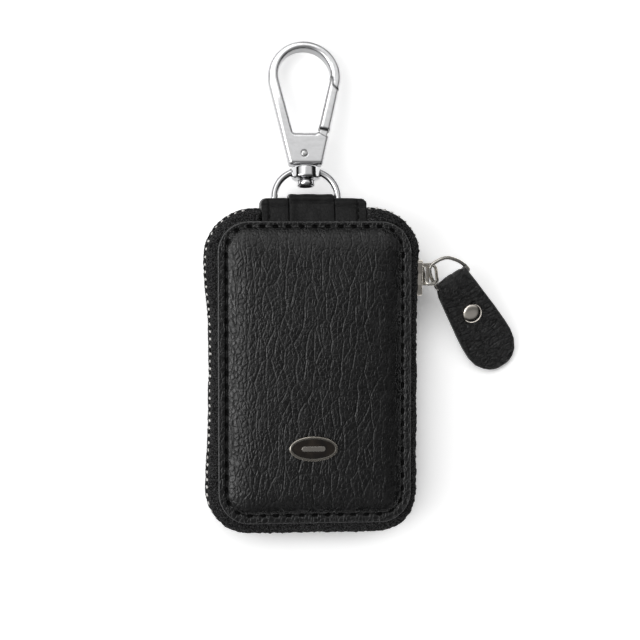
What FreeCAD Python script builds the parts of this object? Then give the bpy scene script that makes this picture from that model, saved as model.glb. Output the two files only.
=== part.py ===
import FreeCAD, Part
import math
import os

# A zipped leather key case lying on its back, in millimetres.
# X runs to the right, Y towards the hook and Z up out of the front panel.
# The origin is the middle of the back pad's face, on the surface that it lies on.

Vector = FreeCAD.Vector

# Case
case_width = 64.0  # over the zip teeth
case_length = 99.0  # over the zip teeth
case_thickness = 25.0  # over both pads
zip_corner_radius = 14.0

# Padded panels, front and back alike
panel_side_setback = 2.8  # from the zip outline in to the panel's edge
panel_end_setback = 3.9
panel_corner_radius = 9.5
leather = 1.2
lining = 0.5
lining_setback = 0.4
border_width = 2.6  # from the panel's edge in to the foot of the pad
pad_rise = 3.0
pad_shoulder = 9.0  # width of the pad's rounded flank
pad_inset_shares = (0.0, 0.06, 0.2, 0.5, 1.0)
pad_rise_shares = (0.0, 0.45, 0.78, 0.94, 1.0)
pad_top_corner_share = 0.5

# Zip
tape = 0.6
tape_seam_setback = 0.75  # from the panel's edge in to the tape's seam
tape_upright = 5.0  # height over the zip's middle that the tape stands upright
tape_edge_gap = 0.9  # from the zip's middle to the tape's edge
tooth_pitch = 2.26
tooth_width = 0.9
tooth_depth = 2.0
tooth_reach = 0.7  # past the zip's middle, between the other row's teeth
tooth_grip = 1.1  # over the tape's edge
front_row_share = 0.0  # where each row starts, of the tooth pitch
back_row_share = 0.5
open_zip_gap = 1.5  # how far each row stands off where the zip is open
zip_end_gap = 0.1  # from the hinge patch to the tape's end

# Hinge patch and keeper band
patch_half_width = 16.0
patch_gap = 0.1
patch_floor = 0.95  # leather under the swivel loop's bar
patch_flange = 2.0  # thickness where it goes under the panels
patch_tuck = 3.0  # length under the panels
patch_seam_drop = 0.2
patch_wall_height = 4.2  # height over the zip's middle of its straight inner wall
ridge_rise = 1.5  # over the bar's axis
ridge_width = 1.6
ridge_radius = 0.7
patch_slope_radius = 1.2
keeper_half_width = 6.85
keeper_shift = -0.65  # it sits off the middle
keeper_leather = 1.2
keeper_gap = 0.05
keeper_radius = 1.8

# Swivel loop, in the hook's own frame: along the stem from the bar's axis
loop_wire_radius = 1.15
loop_half_width = 9.75
loop_height = 10.2
loop_corner_radius = 1.8
loop_top_radius = 8.4
loop_shift = -1.9  # the loop sits off the middle
bar_clearance = 0.1
leg_clearance = 0.19
boss_radius = 4.5
boss_bottom = 7.4
boss_height = 3.8
boss_round = 0.7

# Swivel stem
stem_radius = 1.7
stem_clearance = 0.05
stem_head_radius = 2.4
stem_head_height = 2.0
stem_head_round = 0.8
stem_end_gap = 0.2
stem_depth = 5.0  # into the hook body
cross_pin_radius = 0.9
cross_pin_offset = -0.5
cross_pin_height = 3.4  # over the hook body's foot
cross_pin_proud = 0.15

# Snap hook
hook_gap = 0.4  # from the boss to the hook body
hook_thickness = 5.4
hook_round = 1.0
hook_foot_half_width = 5.1
hook_foot_round = 0.8
hook_arc_radius = 11.2
hook_arc_height = 27.8  # from the foot to the arc's middle
eye_arc_radius = 8.0
eye_arc_height = 28.4
eye_floor_height = 10.0
eye_floor_half_width = 3.75
eye_floor_round = 0.9
floor_gap = 0.05  # hook tip and pull tab over the surface

# Gate of the hook, measured from the hook body's foot
gate_gap = 0.15
gate_notch_drop = 1.45  # fall of the body's shoulder under the gate
gate_notch_lift = 0.15
gate_pivot_across = 5.0
gate_pivot_height = 7.7
gate_pin_radius = 0.8
gate_pin_length = 4.2
gate_pin_clearance = 0.05
gate_start = 3.7  # from the pivot up to the full thickness
gate_tip_height = 27.5
lip_across = 8.75  # inner side of the nose's lip
lip_height = 25.1
lip_slope = 2.6
tongue = 2.0
tongue_half_width = 1.3
tongue_radius = 1.5
tongue_gap = 0.1
slot_left = 1.6
slot_floor_height = 5.3
spring_leaf = 0.3
spring_gap = 0.08
spring_bend = 0.9  # width of the bend between its two arms
spring_arm = 4.0
spring_half_width = 0.8

# Zip slider, with its place on the right side
slider_place = 28.4
slider_length = 11.0
slider_plate = 1.2
slider_nose_half_width = 4.6
slider_tail_half_width = 3.2
slider_lip = 0.7
slider_chain_gap = 0.3
slider_tape_gap = 0.3
slider_round = 0.5
slider_corner_radius = 0.9
slider_shoulder_share = 0.12  # where the wide nose starts, of the length from the middle
slider_waist_share = 0.2
wedge_half_width = 0.6
wedge_start = 2.3
wedge_length = 2.4
row_step = 1.9  # from the slider's middle to where the rows part
crown_half_width = 0.8
crown_wire = 0.9
crown_window = 1.5
crown_window_length = 5.0
crown_offset = 1.0
crown_radius = 1.2
crown_inner_radius = 0.5

# Pull: link, D-ring, leather tab and rivet
link_wire_radius = 0.55
link_length = 4.1
link_width = 7.4
link_corner_radius = 1.9
link_lean_angle = 54.0
link_slack = 0.2
ring_wire_radius = 0.6
ring_radius = 5.6
ring_leg = 2.4
ring_corner_radius = 1.0
pull_angle = 31.5
tab_length = 33.0
tab_thickness = 2.6
tab_top_half_width = 4.7
tab_neck = 1.6
tab_neck_radius = 1.0
tab_shoulder = 3.3
tab_shoulder_half_width = 6.6
tab_shoulder_radius = 2.4
tab_half_width = 8.0
tab_end_radius = 7.6
tab_top_fold = 1.25  # leather round the bar
tab_bore_gap = 0.15
tab_edge_round = 0.5
rivet_place = 12.2
rivet_radius = 3.1
rivet_height = 1.3
rivet_round = 0.9
rivet_post_radius = 1.1
rivet_base_radius = 2.9
rivet_base_height = 0.7
rivet_socket = 0.4

# Badge on the front, left blank
badge_across = -0.85
badge_along = -22.35
badge_half_width = 7.3
badge_half_height = 3.8
badge_thickness = 1.1
badge_rim = 0.85
badge_recess = 0.5
badge_round = 0.3
badge_bar_half_length = 3.6
badge_bar_half_width = 0.8
badge_bar_height = 0.25

# Key strap and split ring inside
strap_half_width = 4.0
strap_leather = 1.2
strap_loop_place = 27.0
strap_loop_radius = 2.4
strap_end_gap = 0.2
strap_rivet_share = 0.45  # along the strap's tail
strap_rivet_radius = 2.6
strap_rivet_post = 1.0
strap_rivet_head = 1.0
strap_rivet_foot = 0.6
strap_rivet_foot_radius = 2.0
key_ring_wire_radius = 0.8
key_ring_radius = 11.5
key_ring_pitch = 2.05
key_ring_turns = 2
quarters_per_turn = 4

overrun = 5.0  # how far cutting shapes reach past what they cut
touching = 1e-6

# Levels and outlines that several pieces share
middle = case_thickness / 2
half_width = case_width / 2
half_length = case_length / 2
panel_half_width = half_width - panel_side_setback
panel_half_length = half_length - panel_end_setback
seam_height = middle - pad_rise - leather - lining
lining_top = middle + seam_height + lining
border_top = lining_top + leather
row_half_width = half_width - tooth_depth / 2
row_half_length = half_length - tooth_depth / 2
row_radius = zip_corner_radius - tooth_depth / 2
tape_half_width = row_half_width + tape / 2
tape_half_length = row_half_length + tape / 2
tape_radius = row_radius + tape / 2
zip_end = patch_half_width + zip_end_gap
bar_place = tape_half_length + patch_gap + patch_floor + bar_clearance + loop_wire_radius
open_zip_start = slider_place + row_step


def outline(corners, place):
    """Closed wire through (a, b, radius) corners, rounded by arcs and put in space by place(a, b)."""
    points = [Vector(a, b, 0) for a, b, radius in corners]
    arcs = []
    for i, (a, b, radius) in enumerate(corners):
        back = (points[i - 1] - points[i]).normalize()
        ahead = (points[(i + 1) % len(points)] - points[i]).normalize()
        half = back.getAngle(ahead) / 2
        bisector = (back + ahead).normalize()
        reach = radius / math.tan(half)
        crest = points[i] + bisector * (radius / math.sin(half) - radius)
        arcs.append((points[i] + back * reach, crest, points[i] + ahead * reach))
    edges = []
    for i, (enter, crest, leave) in enumerate(arcs):
        before = arcs[i - 1][2]
        if before.distanceToPoint(enter) > touching:
            edges.append(Part.makeLine(place(before.x, before.y), place(enter.x, enter.y)))
        if corners[i][2] > 0:
            ends = [place(p.x, p.y) for p in (enter, crest, leave)]
            edges.append(Part.Arc(*ends).toShape())
    return Part.Wire(edges)


def level(z):
    """Places an outline's (a, b) at (X, Y) on a level."""
    return lambda a, b: Vector(a, b, z)


def profile(x):
    """Places an outline's (a, b) at (Y, Z) on a cross-section of the case."""
    return lambda a, b: Vector(x, a, b)


def prism(wire, sweep):
    return Part.Face(wire).extrude(sweep)


def rectangle(half_x, half_y, radius, z):
    corners = [(sx * half_x, sy * half_y, radius) for sx, sy in ((1, -1), (1, 1), (-1, 1), (-1, -1))]
    return outline(corners, level(z))


def box(low, high):
    size = high - low
    return Part.makeBox(size.x, size.y, size.z, low)


def tube(wire, radius):
    """Round wire bent along a closed path of lines and arcs."""
    first = wire.OrderedEdges[0]
    start = first.valueAt(first.FirstParameter)
    section = Part.Wire(Part.makeCircle(radius, start, first.tangentAt(first.FirstParameter)))
    return wire.makePipeShell([section], True, False)


def edges_at(shape, test):
    """Edges whose two ends and middle all pass the test."""
    chosen = []
    for edge in shape.Edges:
        ends = (edge.FirstParameter, edge.LastParameter)
        spots = [edge.valueAt(t) for t in (*ends, sum(ends) / 2)]
        if all(test(spot) for spot in spots):
            chosen.append(edge)
    return chosen


def to_back(shape):
    """The same piece on the back half, mirrored in the zip's middle."""
    return shape.mirror(Vector(0, 0, middle), Vector(0, 0, 1))


# Padded panels
def pad(inset, base):
    """Crowned pad on the panel's outline, its foot set in from the panel's edge."""
    wires = []
    for inset_share, rise_share in zip(pad_inset_shares, pad_rise_shares):
        step = inset + pad_shoulder * inset_share
        radius = (panel_corner_radius - inset) * (1 - (1 - pad_top_corner_share) * inset_share)
        z = base + pad_rise * rise_share
        wires.append(rectangle(panel_half_width - step, panel_half_length - step, radius, z))
    return Part.makeLoft(wires, True, True)


def front_foam():
    return pad(border_width + leather, lining_top)


def front_leather():
    edge = rectangle(panel_half_width, panel_half_length, panel_corner_radius, lining_top)
    border = prism(edge, Vector(0, 0, leather))
    skin = border.fuse(pad(border_width, border_top)).cut(front_foam())
    return skin.removeSplitter()


def front_lining():
    edge = rectangle(
        panel_half_width - lining_setback,
        panel_half_length - lining_setback,
        panel_corner_radius - lining_setback,
        middle + seam_height,
    )
    return prism(edge, Vector(0, 0, lining))


# Zip
def tape_loft(setback):
    seam = (panel_half_width, panel_half_length, panel_corner_radius)
    edge = (tape_half_width, tape_half_length, tape_radius)
    sections = [
        (seam, tape_seam_setback + setback, seam_height),
        (edge, setback, tape_upright),
        (edge, setback, tape_edge_gap),
    ]
    wires = [
        rectangle(x - step, y - step, radius - step, middle + height)
        for (x, y, radius), step, height in sections
    ]
    return Part.makeLoft(wires, True, True)


def front_zip_tape():
    """Band from the panel's seam out to the teeth, open under the hinge patch."""
    band = tape_loft(0).cut(tape_loft(tape))
    top = middle + seam_height + overrun
    gap = box(Vector(-zip_end, 0, middle), Vector(zip_end, half_length, top))
    parted_edge = middle + tape_edge_gap + open_zip_gap
    parted = box(Vector(0, open_zip_start, middle), Vector(half_width, half_length, parted_edge))
    return band.cut(gap).cut(parted)


zip_runs = (
    row_half_width - row_radius,
    2 * (row_half_length - row_radius),
    2 * (row_half_width - row_radius),
    2 * (row_half_length - row_radius),
    row_half_width - row_radius,
)
zip_corner = row_radius * math.pi / 2
zip_length = sum(zip_runs) + (len(zip_runs) - 1) * zip_corner


def zip_station(distance):
    """Point and heading on the zip's line, clockwise from the middle of the hinge patch."""
    x = 0.0
    y = row_half_length
    heading = 0.0
    for run in zip_runs:
        step = min(distance, run)
        x += step * math.cos(heading)
        y += step * math.sin(heading)
        distance -= step
        turn = min(distance, zip_corner) / row_radius
        centre_x = x + row_radius * math.sin(heading)
        centre_y = y - row_radius * math.cos(heading)
        heading -= turn
        x = centre_x - row_radius * math.sin(heading)
        y = centre_y + row_radius * math.cos(heading)
        distance -= turn * row_radius
    return x, y, math.degrees(heading)


def tooth():
    """One tooth of the front row, clenched on the tape's edge, at the origin with its line along X."""
    out = tooth_depth / 2
    grip = tape / 2
    top = tape_edge_gap + tooth_grip
    corners = [
        (-out, -tooth_reach),
        (out, -tooth_reach),
        (out, top),
        (grip, top),
        (grip, tape_edge_gap),
        (-grip, tape_edge_gap),
        (-grip, top),
        (-out, top),
    ]
    wire = outline([(a, b, 0) for a, b in corners], profile(-tooth_width / 2))
    return prism(wire, Vector(tooth_width, 0, 0))


def zip_row(one_tooth, side, start_share):
    """A row of teeth between the patch's sides. Past the slider the zip is open, and the rows stand apart."""
    teeth = []
    first = zip_end + tooth_width
    count = int((zip_length - 2 * first) / tooth_pitch)
    for i in range(count):
        x, y, turn = zip_station(first + tooth_pitch * (i + start_share))
        under_patch = y > 0 and abs(x) < zip_end + tooth_width / 2
        parted = x > 0 and y > open_zip_start
        if under_patch or (x > 0 and abs(y - open_zip_start) < tooth_width):
            continue
        height = middle + (side * open_zip_gap if parted else 0)
        one = one_tooth.copy()
        one.Placement = FreeCAD.Placement(Vector(x, y, height), FreeCAD.Rotation(Vector(0, 0, 1), turn))
        teeth.append(one)
    return Part.makeCompound(teeth)


def front_zip_teeth():
    return zip_row(tooth(), 1, front_row_share)


def back_zip_teeth():
    turned = tooth().mirror(Vector(0, 0, 0), Vector(0, 0, 1))
    return zip_row(turned, -1, back_row_share)


# Hinge patch and keeper band, as profiles across the case that run along X
valley_floor = bar_place - loop_wire_radius - bar_clearance
flank_offset = (loop_wire_radius + leg_clearance) * math.sqrt(2)
ridge_top = bar_place + ridge_rise
ridge_height = ridge_rise + flank_offset
seam_top = seam_height - patch_seam_drop
tuck_end = panel_half_length - patch_tuck


def both_sides(corners):
    """A profile from its front half, given as (along, height over the zip's middle, radius)."""
    front = [(y, middle + h, radius) for y, h, radius in corners]
    back = [(y, middle - h, radius) for y, h, radius in reversed(corners)]
    return front + back


def keeper_band():
    """Leather band over the patch and the loop's bar, laid into the patch near its seams."""
    inner_top = ridge_top + keeper_gap
    outer_top = inner_top + keeper_leather
    inner_seam = seam_top - keeper_leather
    outer_corner = ridge_height + ridge_width
    inner_corner = outer_corner - keeper_leather / 2
    corners = both_sides(
        [
            (outer_top, outer_corner, keeper_radius),
            (panel_half_length, seam_top, keeper_leather),
            (tuck_end, seam_top, 0),
            (tuck_end, inner_seam, 0),
            (panel_half_length - keeper_leather / 2, inner_seam, keeper_leather),
            (inner_top, inner_corner, keeper_radius - keeper_leather),
        ]
    )
    left = keeper_shift - keeper_half_width
    return prism(outline(corners, profile(left)), Vector(2 * keeper_half_width, 0, 0))


def hinge_patch():
    """Leather over the zip's ends: two ridges with a valley between them for the loop's bar."""
    wall = tape_half_length + patch_gap
    corners = both_sides(
        [
            (valley_floor, flank_offset - loop_wire_radius - bar_clearance, bar_clearance),
            (ridge_top, ridge_height, ridge_radius),
            (ridge_top, ridge_height + ridge_width, patch_slope_radius),
            (panel_half_length, seam_top, patch_slope_radius),
            (tuck_end, seam_top, 0),
            (tuck_end, seam_top - patch_flange, 0),
            (panel_half_length, seam_top - patch_flange, patch_slope_radius),
            (wall, patch_wall_height, patch_slope_radius),
        ]
    )
    solid = prism(outline(corners, profile(-patch_half_width)), Vector(2 * patch_half_width, 0, 0))
    return solid.cut(keeper_band())


# Swivel loop, stem and snap hook, built upright along Y from the bar's axis
boss_top = boss_bottom + boss_height
hook_foot = boss_top + hook_gap
eye_floor = hook_foot + eye_floor_height
hook_tip = hook_foot + hook_arc_height + hook_arc_radius
tip_reach = math.hypot(hook_tip - hook_round, hook_thickness / 2 - hook_round)
hook_tilt = math.degrees(
    math.asin((middle - floor_gap - hook_round) / tip_reach)
    - math.atan2(hook_thickness / 2 - hook_round, hook_tip - hook_round)
)


def hung(shape):
    """Puts a piece of the hook at the loop's bar, tipped down so that the hook's tip meets the surface."""
    placement = FreeCAD.Placement(
        Vector(loop_shift, bar_place, middle), FreeCAD.Rotation(Vector(1, 0, 0), -hook_tilt)
    )
    hung_shape = shape.copy()
    hung_shape.Placement = placement
    return hung_shape


def upright(radius, low, high):
    """Cylinder on the stem's axis."""
    return Part.makeCylinder(radius, high - low, Vector(0, low, 0), Vector(0, 1, 0))


def crosswise(radius, length, across, along):
    """Cylinder square to the hook's flat faces, centred on its thickness."""
    return Part.makeCylinder(radius, length, Vector(across, along, -length / 2), Vector(0, 0, 1))


def slab(wire_corners, thickness):
    return prism(outline(wire_corners, level(-thickness / 2)), Vector(0, 0, thickness))


def swivel_d_loop():
    corners = [
        (-loop_half_width, 0, loop_corner_radius),
        (loop_half_width, 0, loop_corner_radius),
        (loop_half_width, loop_height, loop_top_radius),
        (-loop_half_width, loop_height, loop_top_radius),
    ]
    wire = tube(outline(corners, level(0)), loop_wire_radius)
    boss = upright(boss_radius, boss_bottom, boss_top)
    ends = (boss_bottom, boss_top)
    rims = edges_at(boss, lambda p: any(math.isclose(p.y, y, abs_tol=touching) for y in ends))
    boss = boss.makeFillet(boss_round, rims)
    bore = upright(stem_radius + stem_clearance, boss_bottom - overrun, boss_top + overrun)
    return wire.fuse(boss).cut(bore).removeSplitter()


def swivel_stem():
    head_top = boss_bottom - stem_end_gap
    head_low = head_top - stem_head_height
    head = upright(stem_head_radius, head_low, head_top)
    rim = edges_at(head, lambda p: math.isclose(p.y, head_low, abs_tol=touching))
    head = head.makeFillet(stem_head_round, rim)
    shank = upright(stem_radius, head_top, hook_foot + stem_depth)
    return head.fuse(shank).cut(stem_cross_pin()).removeSplitter()


def stem_cross_pin():
    length = hook_thickness + 2 * cross_pin_proud
    return crosswise(cross_pin_radius, length, cross_pin_offset, hook_foot + cross_pin_height)


def teardrop(foot_half_width, foot, arc_centre, radius, foot_round):
    """Solid with straight flanks from its foot up to a round top, as thick as the hook."""
    drop = foot - arc_centre
    reach = math.hypot(foot_half_width, drop)
    turn = math.atan2(drop, foot_half_width) + math.acos(radius / reach)
    slope = math.tan(-turn)
    top = arc_centre + radius
    top_half_width = foot_half_width + slope * (top - foot)
    corners = [
        (-foot_half_width, foot, foot_round),
        (foot_half_width, foot, foot_round),
        (top_half_width, top, radius),
        (-top_half_width, top, radius),
    ]
    return slab(corners, hook_thickness)


def hook_blank():
    """Hook body and gate in one, before they are parted."""
    solid = teardrop(
        hook_foot_half_width,
        hook_foot,
        hook_foot + hook_arc_height,
        hook_arc_radius,
        hook_foot_round,
    )
    eye = teardrop(
        eye_floor_half_width,
        eye_floor,
        hook_foot + eye_arc_height,
        eye_arc_radius,
        eye_floor_round,
    )
    ring = solid.cut(eye)
    flat = hook_thickness / 2
    rims = edges_at(ring, lambda p: math.isclose(abs(p.z), flat, abs_tol=touching))
    return ring.makeFillet(hook_round, rims)


gate_pivot = Vector(gate_pivot_across, hook_foot + gate_pivot_height, 0)
lip_bottom = hook_foot + lip_height
gate_top = hook_foot + gate_tip_height
gate_lean = math.atan2(eye_arc_radius - eye_floor_half_width, eye_arc_height - eye_floor_height)


def gate_region(gap, low_corners):
    """The part of the blank that is the gate, bounded above by the nose and its lip."""
    reach = hook_arc_radius + overrun
    lip = lip_across - gap
    fall = (reach - lip) / (hook_arc_radius - lip_across) * lip_slope
    corners = low_corners + [
        (reach, lip_bottom - gap - fall, 0),
        (lip, lip_bottom - gap, 0),
        (lip, gate_top - gap, 0),
        (eye_floor_half_width, gate_top - gap, 0),
    ]
    return slab(corners, hook_thickness + overrun)


def gate_notch():
    """What is cut from the blank to leave the hook body."""
    reach = hook_arc_radius + overrun
    shoulder = eye_floor + gate_notch_lift
    low = [
        (0, shoulder, 0),
        (eye_floor_half_width, shoulder, 0),
        (gate_pivot_across + tongue_half_width, shoulder - gate_notch_drop, 0),
        (reach, shoulder - gate_notch_drop, 0),
    ]
    return gate_region(0, low)


def along_gate(along, across):
    """Point in the gate's own directions, from its pivot."""
    x = gate_pivot.x + along * math.sin(gate_lean) + across * math.cos(gate_lean)
    y = gate_pivot.y + along * math.cos(gate_lean) - across * math.sin(gate_lean)
    return x, y


def gate_lever():
    left = along_gate(gate_start, -2 * tongue_half_width)
    right = along_gate(gate_start, hook_arc_radius)
    body = hook_blank().common(gate_region(gate_gap, [(*left, 0), (*right, 0)]))
    ends = [(0, -1), (0, 1), (1, 1), (1, -1)]
    strip = [along_gate(a * (gate_start + tongue), c * tongue_half_width) for a, c in ends]
    tongue_solid = slab([(x, y, 0) for x, y in strip], tongue)
    eye = crosswise(tongue_radius, tongue, gate_pivot.x, gate_pivot.y)
    bore = crosswise(gate_pin_radius + gate_pin_clearance, hook_thickness, gate_pivot.x, gate_pivot.y)
    return body.fuse([tongue_solid, eye]).cut(bore).removeSplitter()


def gate_slot():
    """Slot in the hook body for the gate's tongue and its spring."""
    reach = hook_arc_radius
    floor = hook_foot + slot_floor_height
    corners = [
        (slot_left, floor, 0),
        (reach, floor, 0),
        (reach, eye_floor + overrun, 0),
        (slot_left, eye_floor + overrun, 0),
    ]
    return slab(corners, tongue + 2 * tongue_gap)


def hook_body():
    bore = upright(stem_radius, hook_foot - overrun, hook_foot + stem_depth)
    cuts = [gate_notch(), gate_slot(), bore, stem_cross_pin(), gate_pivot_pin()]
    return hook_blank().cut(cuts).removeSplitter()


def gate_pivot_pin():
    return crosswise(gate_pin_radius, gate_pin_length, gate_pivot.x, gate_pivot.y)


def gate_spring():
    """Bent leaf between the slot's wall and the gate's tongue."""
    left = slot_left + spring_gap
    floor = hook_foot + slot_floor_height + spring_gap
    touch_x, touch_y = along_gate(tongue_radius, -tongue_half_width - spring_gap)
    inner_floor = floor + spring_leaf
    corners = [
        (left, floor + spring_arm),
        (left, floor),
        (left + spring_bend, floor),
        (touch_x, touch_y),
        (touch_x - spring_leaf, touch_y),
        (left + spring_bend - spring_leaf / 2, inner_floor),
        (left + spring_leaf, inner_floor),
        (left + spring_leaf, floor + spring_arm),
    ]
    return slab([(x, y, 0) for x, y in corners], 2 * spring_half_width)


# Zip slider
chain_in = row_half_width - tooth_depth / 2 - slider_chain_gap
chain_out = half_width + slider_chain_gap
slider_out = chain_out + slider_plate
slider_in = chain_in - slider_plate
slot_in = row_half_width - tape / 2 - slider_tape_gap
slot_out = tape_half_width + slider_tape_gap


def slider_outline(x, narrower, end_stretch):
    """Outline of a slider plate, wide at the nose, narrowed all round or stretched past its ends."""
    nose = slider_nose_half_width - narrower
    tail = slider_tail_half_width - narrower
    half = slider_length / 2 + end_stretch
    shoulder = slider_length * slider_shoulder_share
    waist = -slider_length * slider_waist_share
    right = [
        (-half, tail, slider_corner_radius),
        (waist, tail, slider_corner_radius),
        (shoulder, nose, slider_corner_radius),
        (half, nose, slider_corner_radius),
    ]
    mirrored = [(y, -z, radius) for y, z, radius in reversed(right)]
    corners = [(slider_place + y, middle + z, radius) for y, z, radius in right + mirrored]
    return outline(corners, profile(x))


def slider_body():
    """Two plates with turned-in lips, held together by the wedge between the rows."""
    block = prism(slider_outline(slider_in, 0, 0), Vector(slider_out - slider_in, 0, 0))
    faces = (slider_in, slider_out)
    rims = edges_at(block, lambda p: any(math.isclose(p.x, x, abs_tol=touching) for x in faces))
    block = block.makeFillet(slider_round, rims)
    channel = prism(slider_outline(chain_in, slider_lip, overrun), Vector(chain_out - chain_in, 0, 0))
    reach = slider_length
    slot = box(
        Vector(slot_in, slider_place - reach, middle - reach),
        Vector(slot_out, slider_place + reach, middle + reach),
    )
    start = slider_place + wedge_start
    corners = [
        (start, middle, 0),
        (start + wedge_length / 2, middle - wedge_half_width, 0),
        (start + wedge_length, middle, 0),
        (start + wedge_length / 2, middle + wedge_half_width, 0),
    ]
    wedge = prism(outline(corners, profile(chain_in)), Vector(chain_out - chain_in, 0, 0))
    return block.cut([channel, slot]).fuse(wedge).removeSplitter()


crown_place = slider_place + crown_offset


def slider_crown():
    """Arch on the slider's outer plate, through which the link passes."""
    inner = crown_window_length / 2
    outer = inner + crown_wire
    under = slider_out + crown_window
    top = under + crown_wire
    corners = [
        (slider_out, -outer, 0),
        (top, -outer, crown_radius),
        (top, outer, crown_radius),
        (slider_out, outer, 0),
        (slider_out, inner, 0),
        (under, inner, crown_inner_radius),
        (under, -inner, crown_inner_radius),
        (slider_out, -inner, 0),
    ]
    place = level(middle - crown_half_width)
    wire = outline([(x, crown_place + y, radius) for x, y, radius in corners], place)
    return prism(wire, Vector(0, 0, 2 * crown_half_width))


# Pull: the link leans in the crown, and the D-ring and tab slope down to the surface
link_centre = Vector(slider_out + crown_window / 2, crown_place, middle)
link_lean = math.radians(link_lean_angle)
link_side = Vector(0, math.sin(link_lean), -math.cos(link_lean))
ring_touch = link_centre + Vector(link_length - link_wire_radius - ring_wire_radius - link_slack, 0, 0)
pull_turn = math.radians(pull_angle)
ring_side = Vector(math.cos(pull_turn), math.sin(pull_turn), 0)
touch_to_bar = ring_radius * math.sin(pull_turn) + ring_leg
pull_reach = touch_to_bar + tab_length
tab_half = tab_thickness / 2
pull_fall = (middle - floor_gap) / math.hypot(pull_reach, tab_half)
pull_slope = math.asin(pull_fall) - math.atan2(tab_half, pull_reach)
level_ahead = Vector(math.sin(pull_turn), -math.cos(pull_turn), 0)
pull_ahead = level_ahead * math.cos(pull_slope) - Vector(0, 0, math.sin(pull_slope))
pull_up = pull_ahead.cross(ring_side)
ring_bar = ring_touch + ring_side * (ring_radius * math.cos(pull_turn)) + pull_ahead * touch_to_bar
ring_tangent = ring_side * math.sin(pull_turn) - pull_ahead * math.cos(pull_turn)


def pull_level(height):
    """Places an outline's (a, b) at a along the pull and b across it, from the D-ring's bar."""
    return lambda a, b: ring_bar + pull_ahead * a + ring_side * b + pull_up * height


def pull_link():
    half = link_width / 2
    corners = [
        (0, -half, link_corner_radius),
        (0, half, link_corner_radius),
        (link_length, half, link_corner_radius),
        (link_length, -half, link_corner_radius),
    ]
    path = outline(corners, lambda a, b: link_centre + Vector(a, 0, 0) + link_side * b)
    return tube(path, link_wire_radius)


def pull_d_ring():
    back = -ring_leg - ring_radius
    corners = [
        (0, -ring_radius, ring_corner_radius),
        (0, ring_radius, ring_corner_radius),
        (back, ring_radius, ring_radius),
        (back, -ring_radius, ring_radius),
    ]
    return tube(outline(corners, pull_level(0)), ring_wire_radius)


def tab_pin(radius, place, low, high):
    """Cylinder through the tab, square to it."""
    foot = pull_level(low)(place, 0)
    return Part.makeCylinder(radius, high - low, foot, pull_up)


def is_tab_rim(point):
    """True on the rims of the tab's two faces, past its neck."""
    from_bar = point - ring_bar
    in_face = math.isclose(abs(from_bar.dot(pull_up)), tab_half, abs_tol=touching)
    return in_face and from_bar.dot(pull_ahead) > tab_neck


def pull_tab():
    """Leather strap folded round the D-ring's bar, with shoulders and a round end."""
    bore = ring_wire_radius + tab_bore_gap
    end_centre = tab_length - tab_half_width
    flank = (tab_half_width - tab_shoulder_half_width) / (end_centre - tab_shoulder)
    end_half_width = tab_half_width + flank * tab_half_width
    right = [
        (0, tab_top_half_width, 0),
        (tab_neck, tab_top_half_width, tab_neck_radius),
        (tab_shoulder, tab_shoulder_half_width, tab_shoulder_radius),
        (tab_length, end_half_width, tab_end_radius),
    ]
    corners = right + [(a, -b, radius) for a, b, radius in reversed(right)]
    leaf = prism(outline(corners, pull_level(-tab_half)), pull_up * tab_thickness)
    leaf = leaf.makeFillet(tab_edge_round, edges_at(leaf, is_tab_rim))
    fold_foot = ring_bar - ring_side * tab_top_half_width
    fold = Part.makeCylinder(bore + tab_top_fold, 2 * tab_top_half_width, fold_foot, ring_side)
    hole_foot = fold_foot - ring_side * overrun
    bar_hole = Part.makeCylinder(bore, 2 * (tab_top_half_width + overrun), hole_foot, ring_side)
    post_hole = tab_pin(rivet_post_radius, rivet_place, -tab_thickness, tab_thickness)
    return leaf.fuse(fold).cut([bar_hole, post_hole]).removeSplitter()


def pull_rivet_cap():
    top = tab_half + rivet_height
    cap = tab_pin(rivet_radius, rivet_place, tab_half, top)
    crown = edges_at(cap, lambda p: (p - ring_bar).dot(pull_up) > top - touching)
    cap = cap.makeFillet(rivet_round, crown)
    return cap.fuse(rivet_post()).removeSplitter()


def rivet_post():
    return tab_pin(rivet_post_radius, rivet_place, -tab_half - rivet_socket, tab_half)


def pull_rivet_base():
    base = tab_pin(rivet_base_radius, rivet_place, -tab_half - rivet_base_height, -tab_half)
    return base.cut(rivet_post())


# Badge
def oval(half_x, half_y, low, high):
    curve = Part.Ellipse(Vector(badge_across, badge_along, low), half_x, half_y)
    return prism(Part.Wire(curve.toShape()), Vector(0, 0, high - low))


badge_top = case_thickness + badge_thickness
badge_floor = badge_top - badge_recess
inlay_top = badge_top - badge_recess / 2
recess_half_width = badge_half_width - badge_rim
recess_half_height = badge_half_height - badge_rim


def badge_base():
    plate = oval(badge_half_width, badge_half_height, case_thickness, badge_top)
    rim = edges_at(plate, lambda p: p.z > badge_top - touching)
    plate = plate.makeFillet(badge_round, rim)
    return plate.cut(oval(recess_half_width, recess_half_height, badge_floor, badge_top + overrun))


def badge_inlay():
    return oval(recess_half_width, recess_half_height, badge_floor, inlay_top)


def badge_bar():
    radius = badge_bar_half_width
    corners = [
        (badge_across + sx * badge_bar_half_length, badge_along + sy * radius, radius)
        for sx, sy in ((1, -1), (1, 1), (-1, 1), (-1, -1))
    ]
    return prism(outline(corners, level(inlay_top)), Vector(0, 0, badge_bar_height))


# Key strap and split ring
strap_floor = middle - seam_height
loop_outer = strap_loop_radius + strap_leather
loop_height_inside = strap_floor + loop_outer
strap_end = tuck_end - strap_end_gap


def strap_cylinder(radius):
    foot = Vector(-strap_half_width, strap_loop_place, loop_height_inside)
    return Part.makeCylinder(radius, 2 * strap_half_width, foot, Vector(1, 0, 0))


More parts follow.
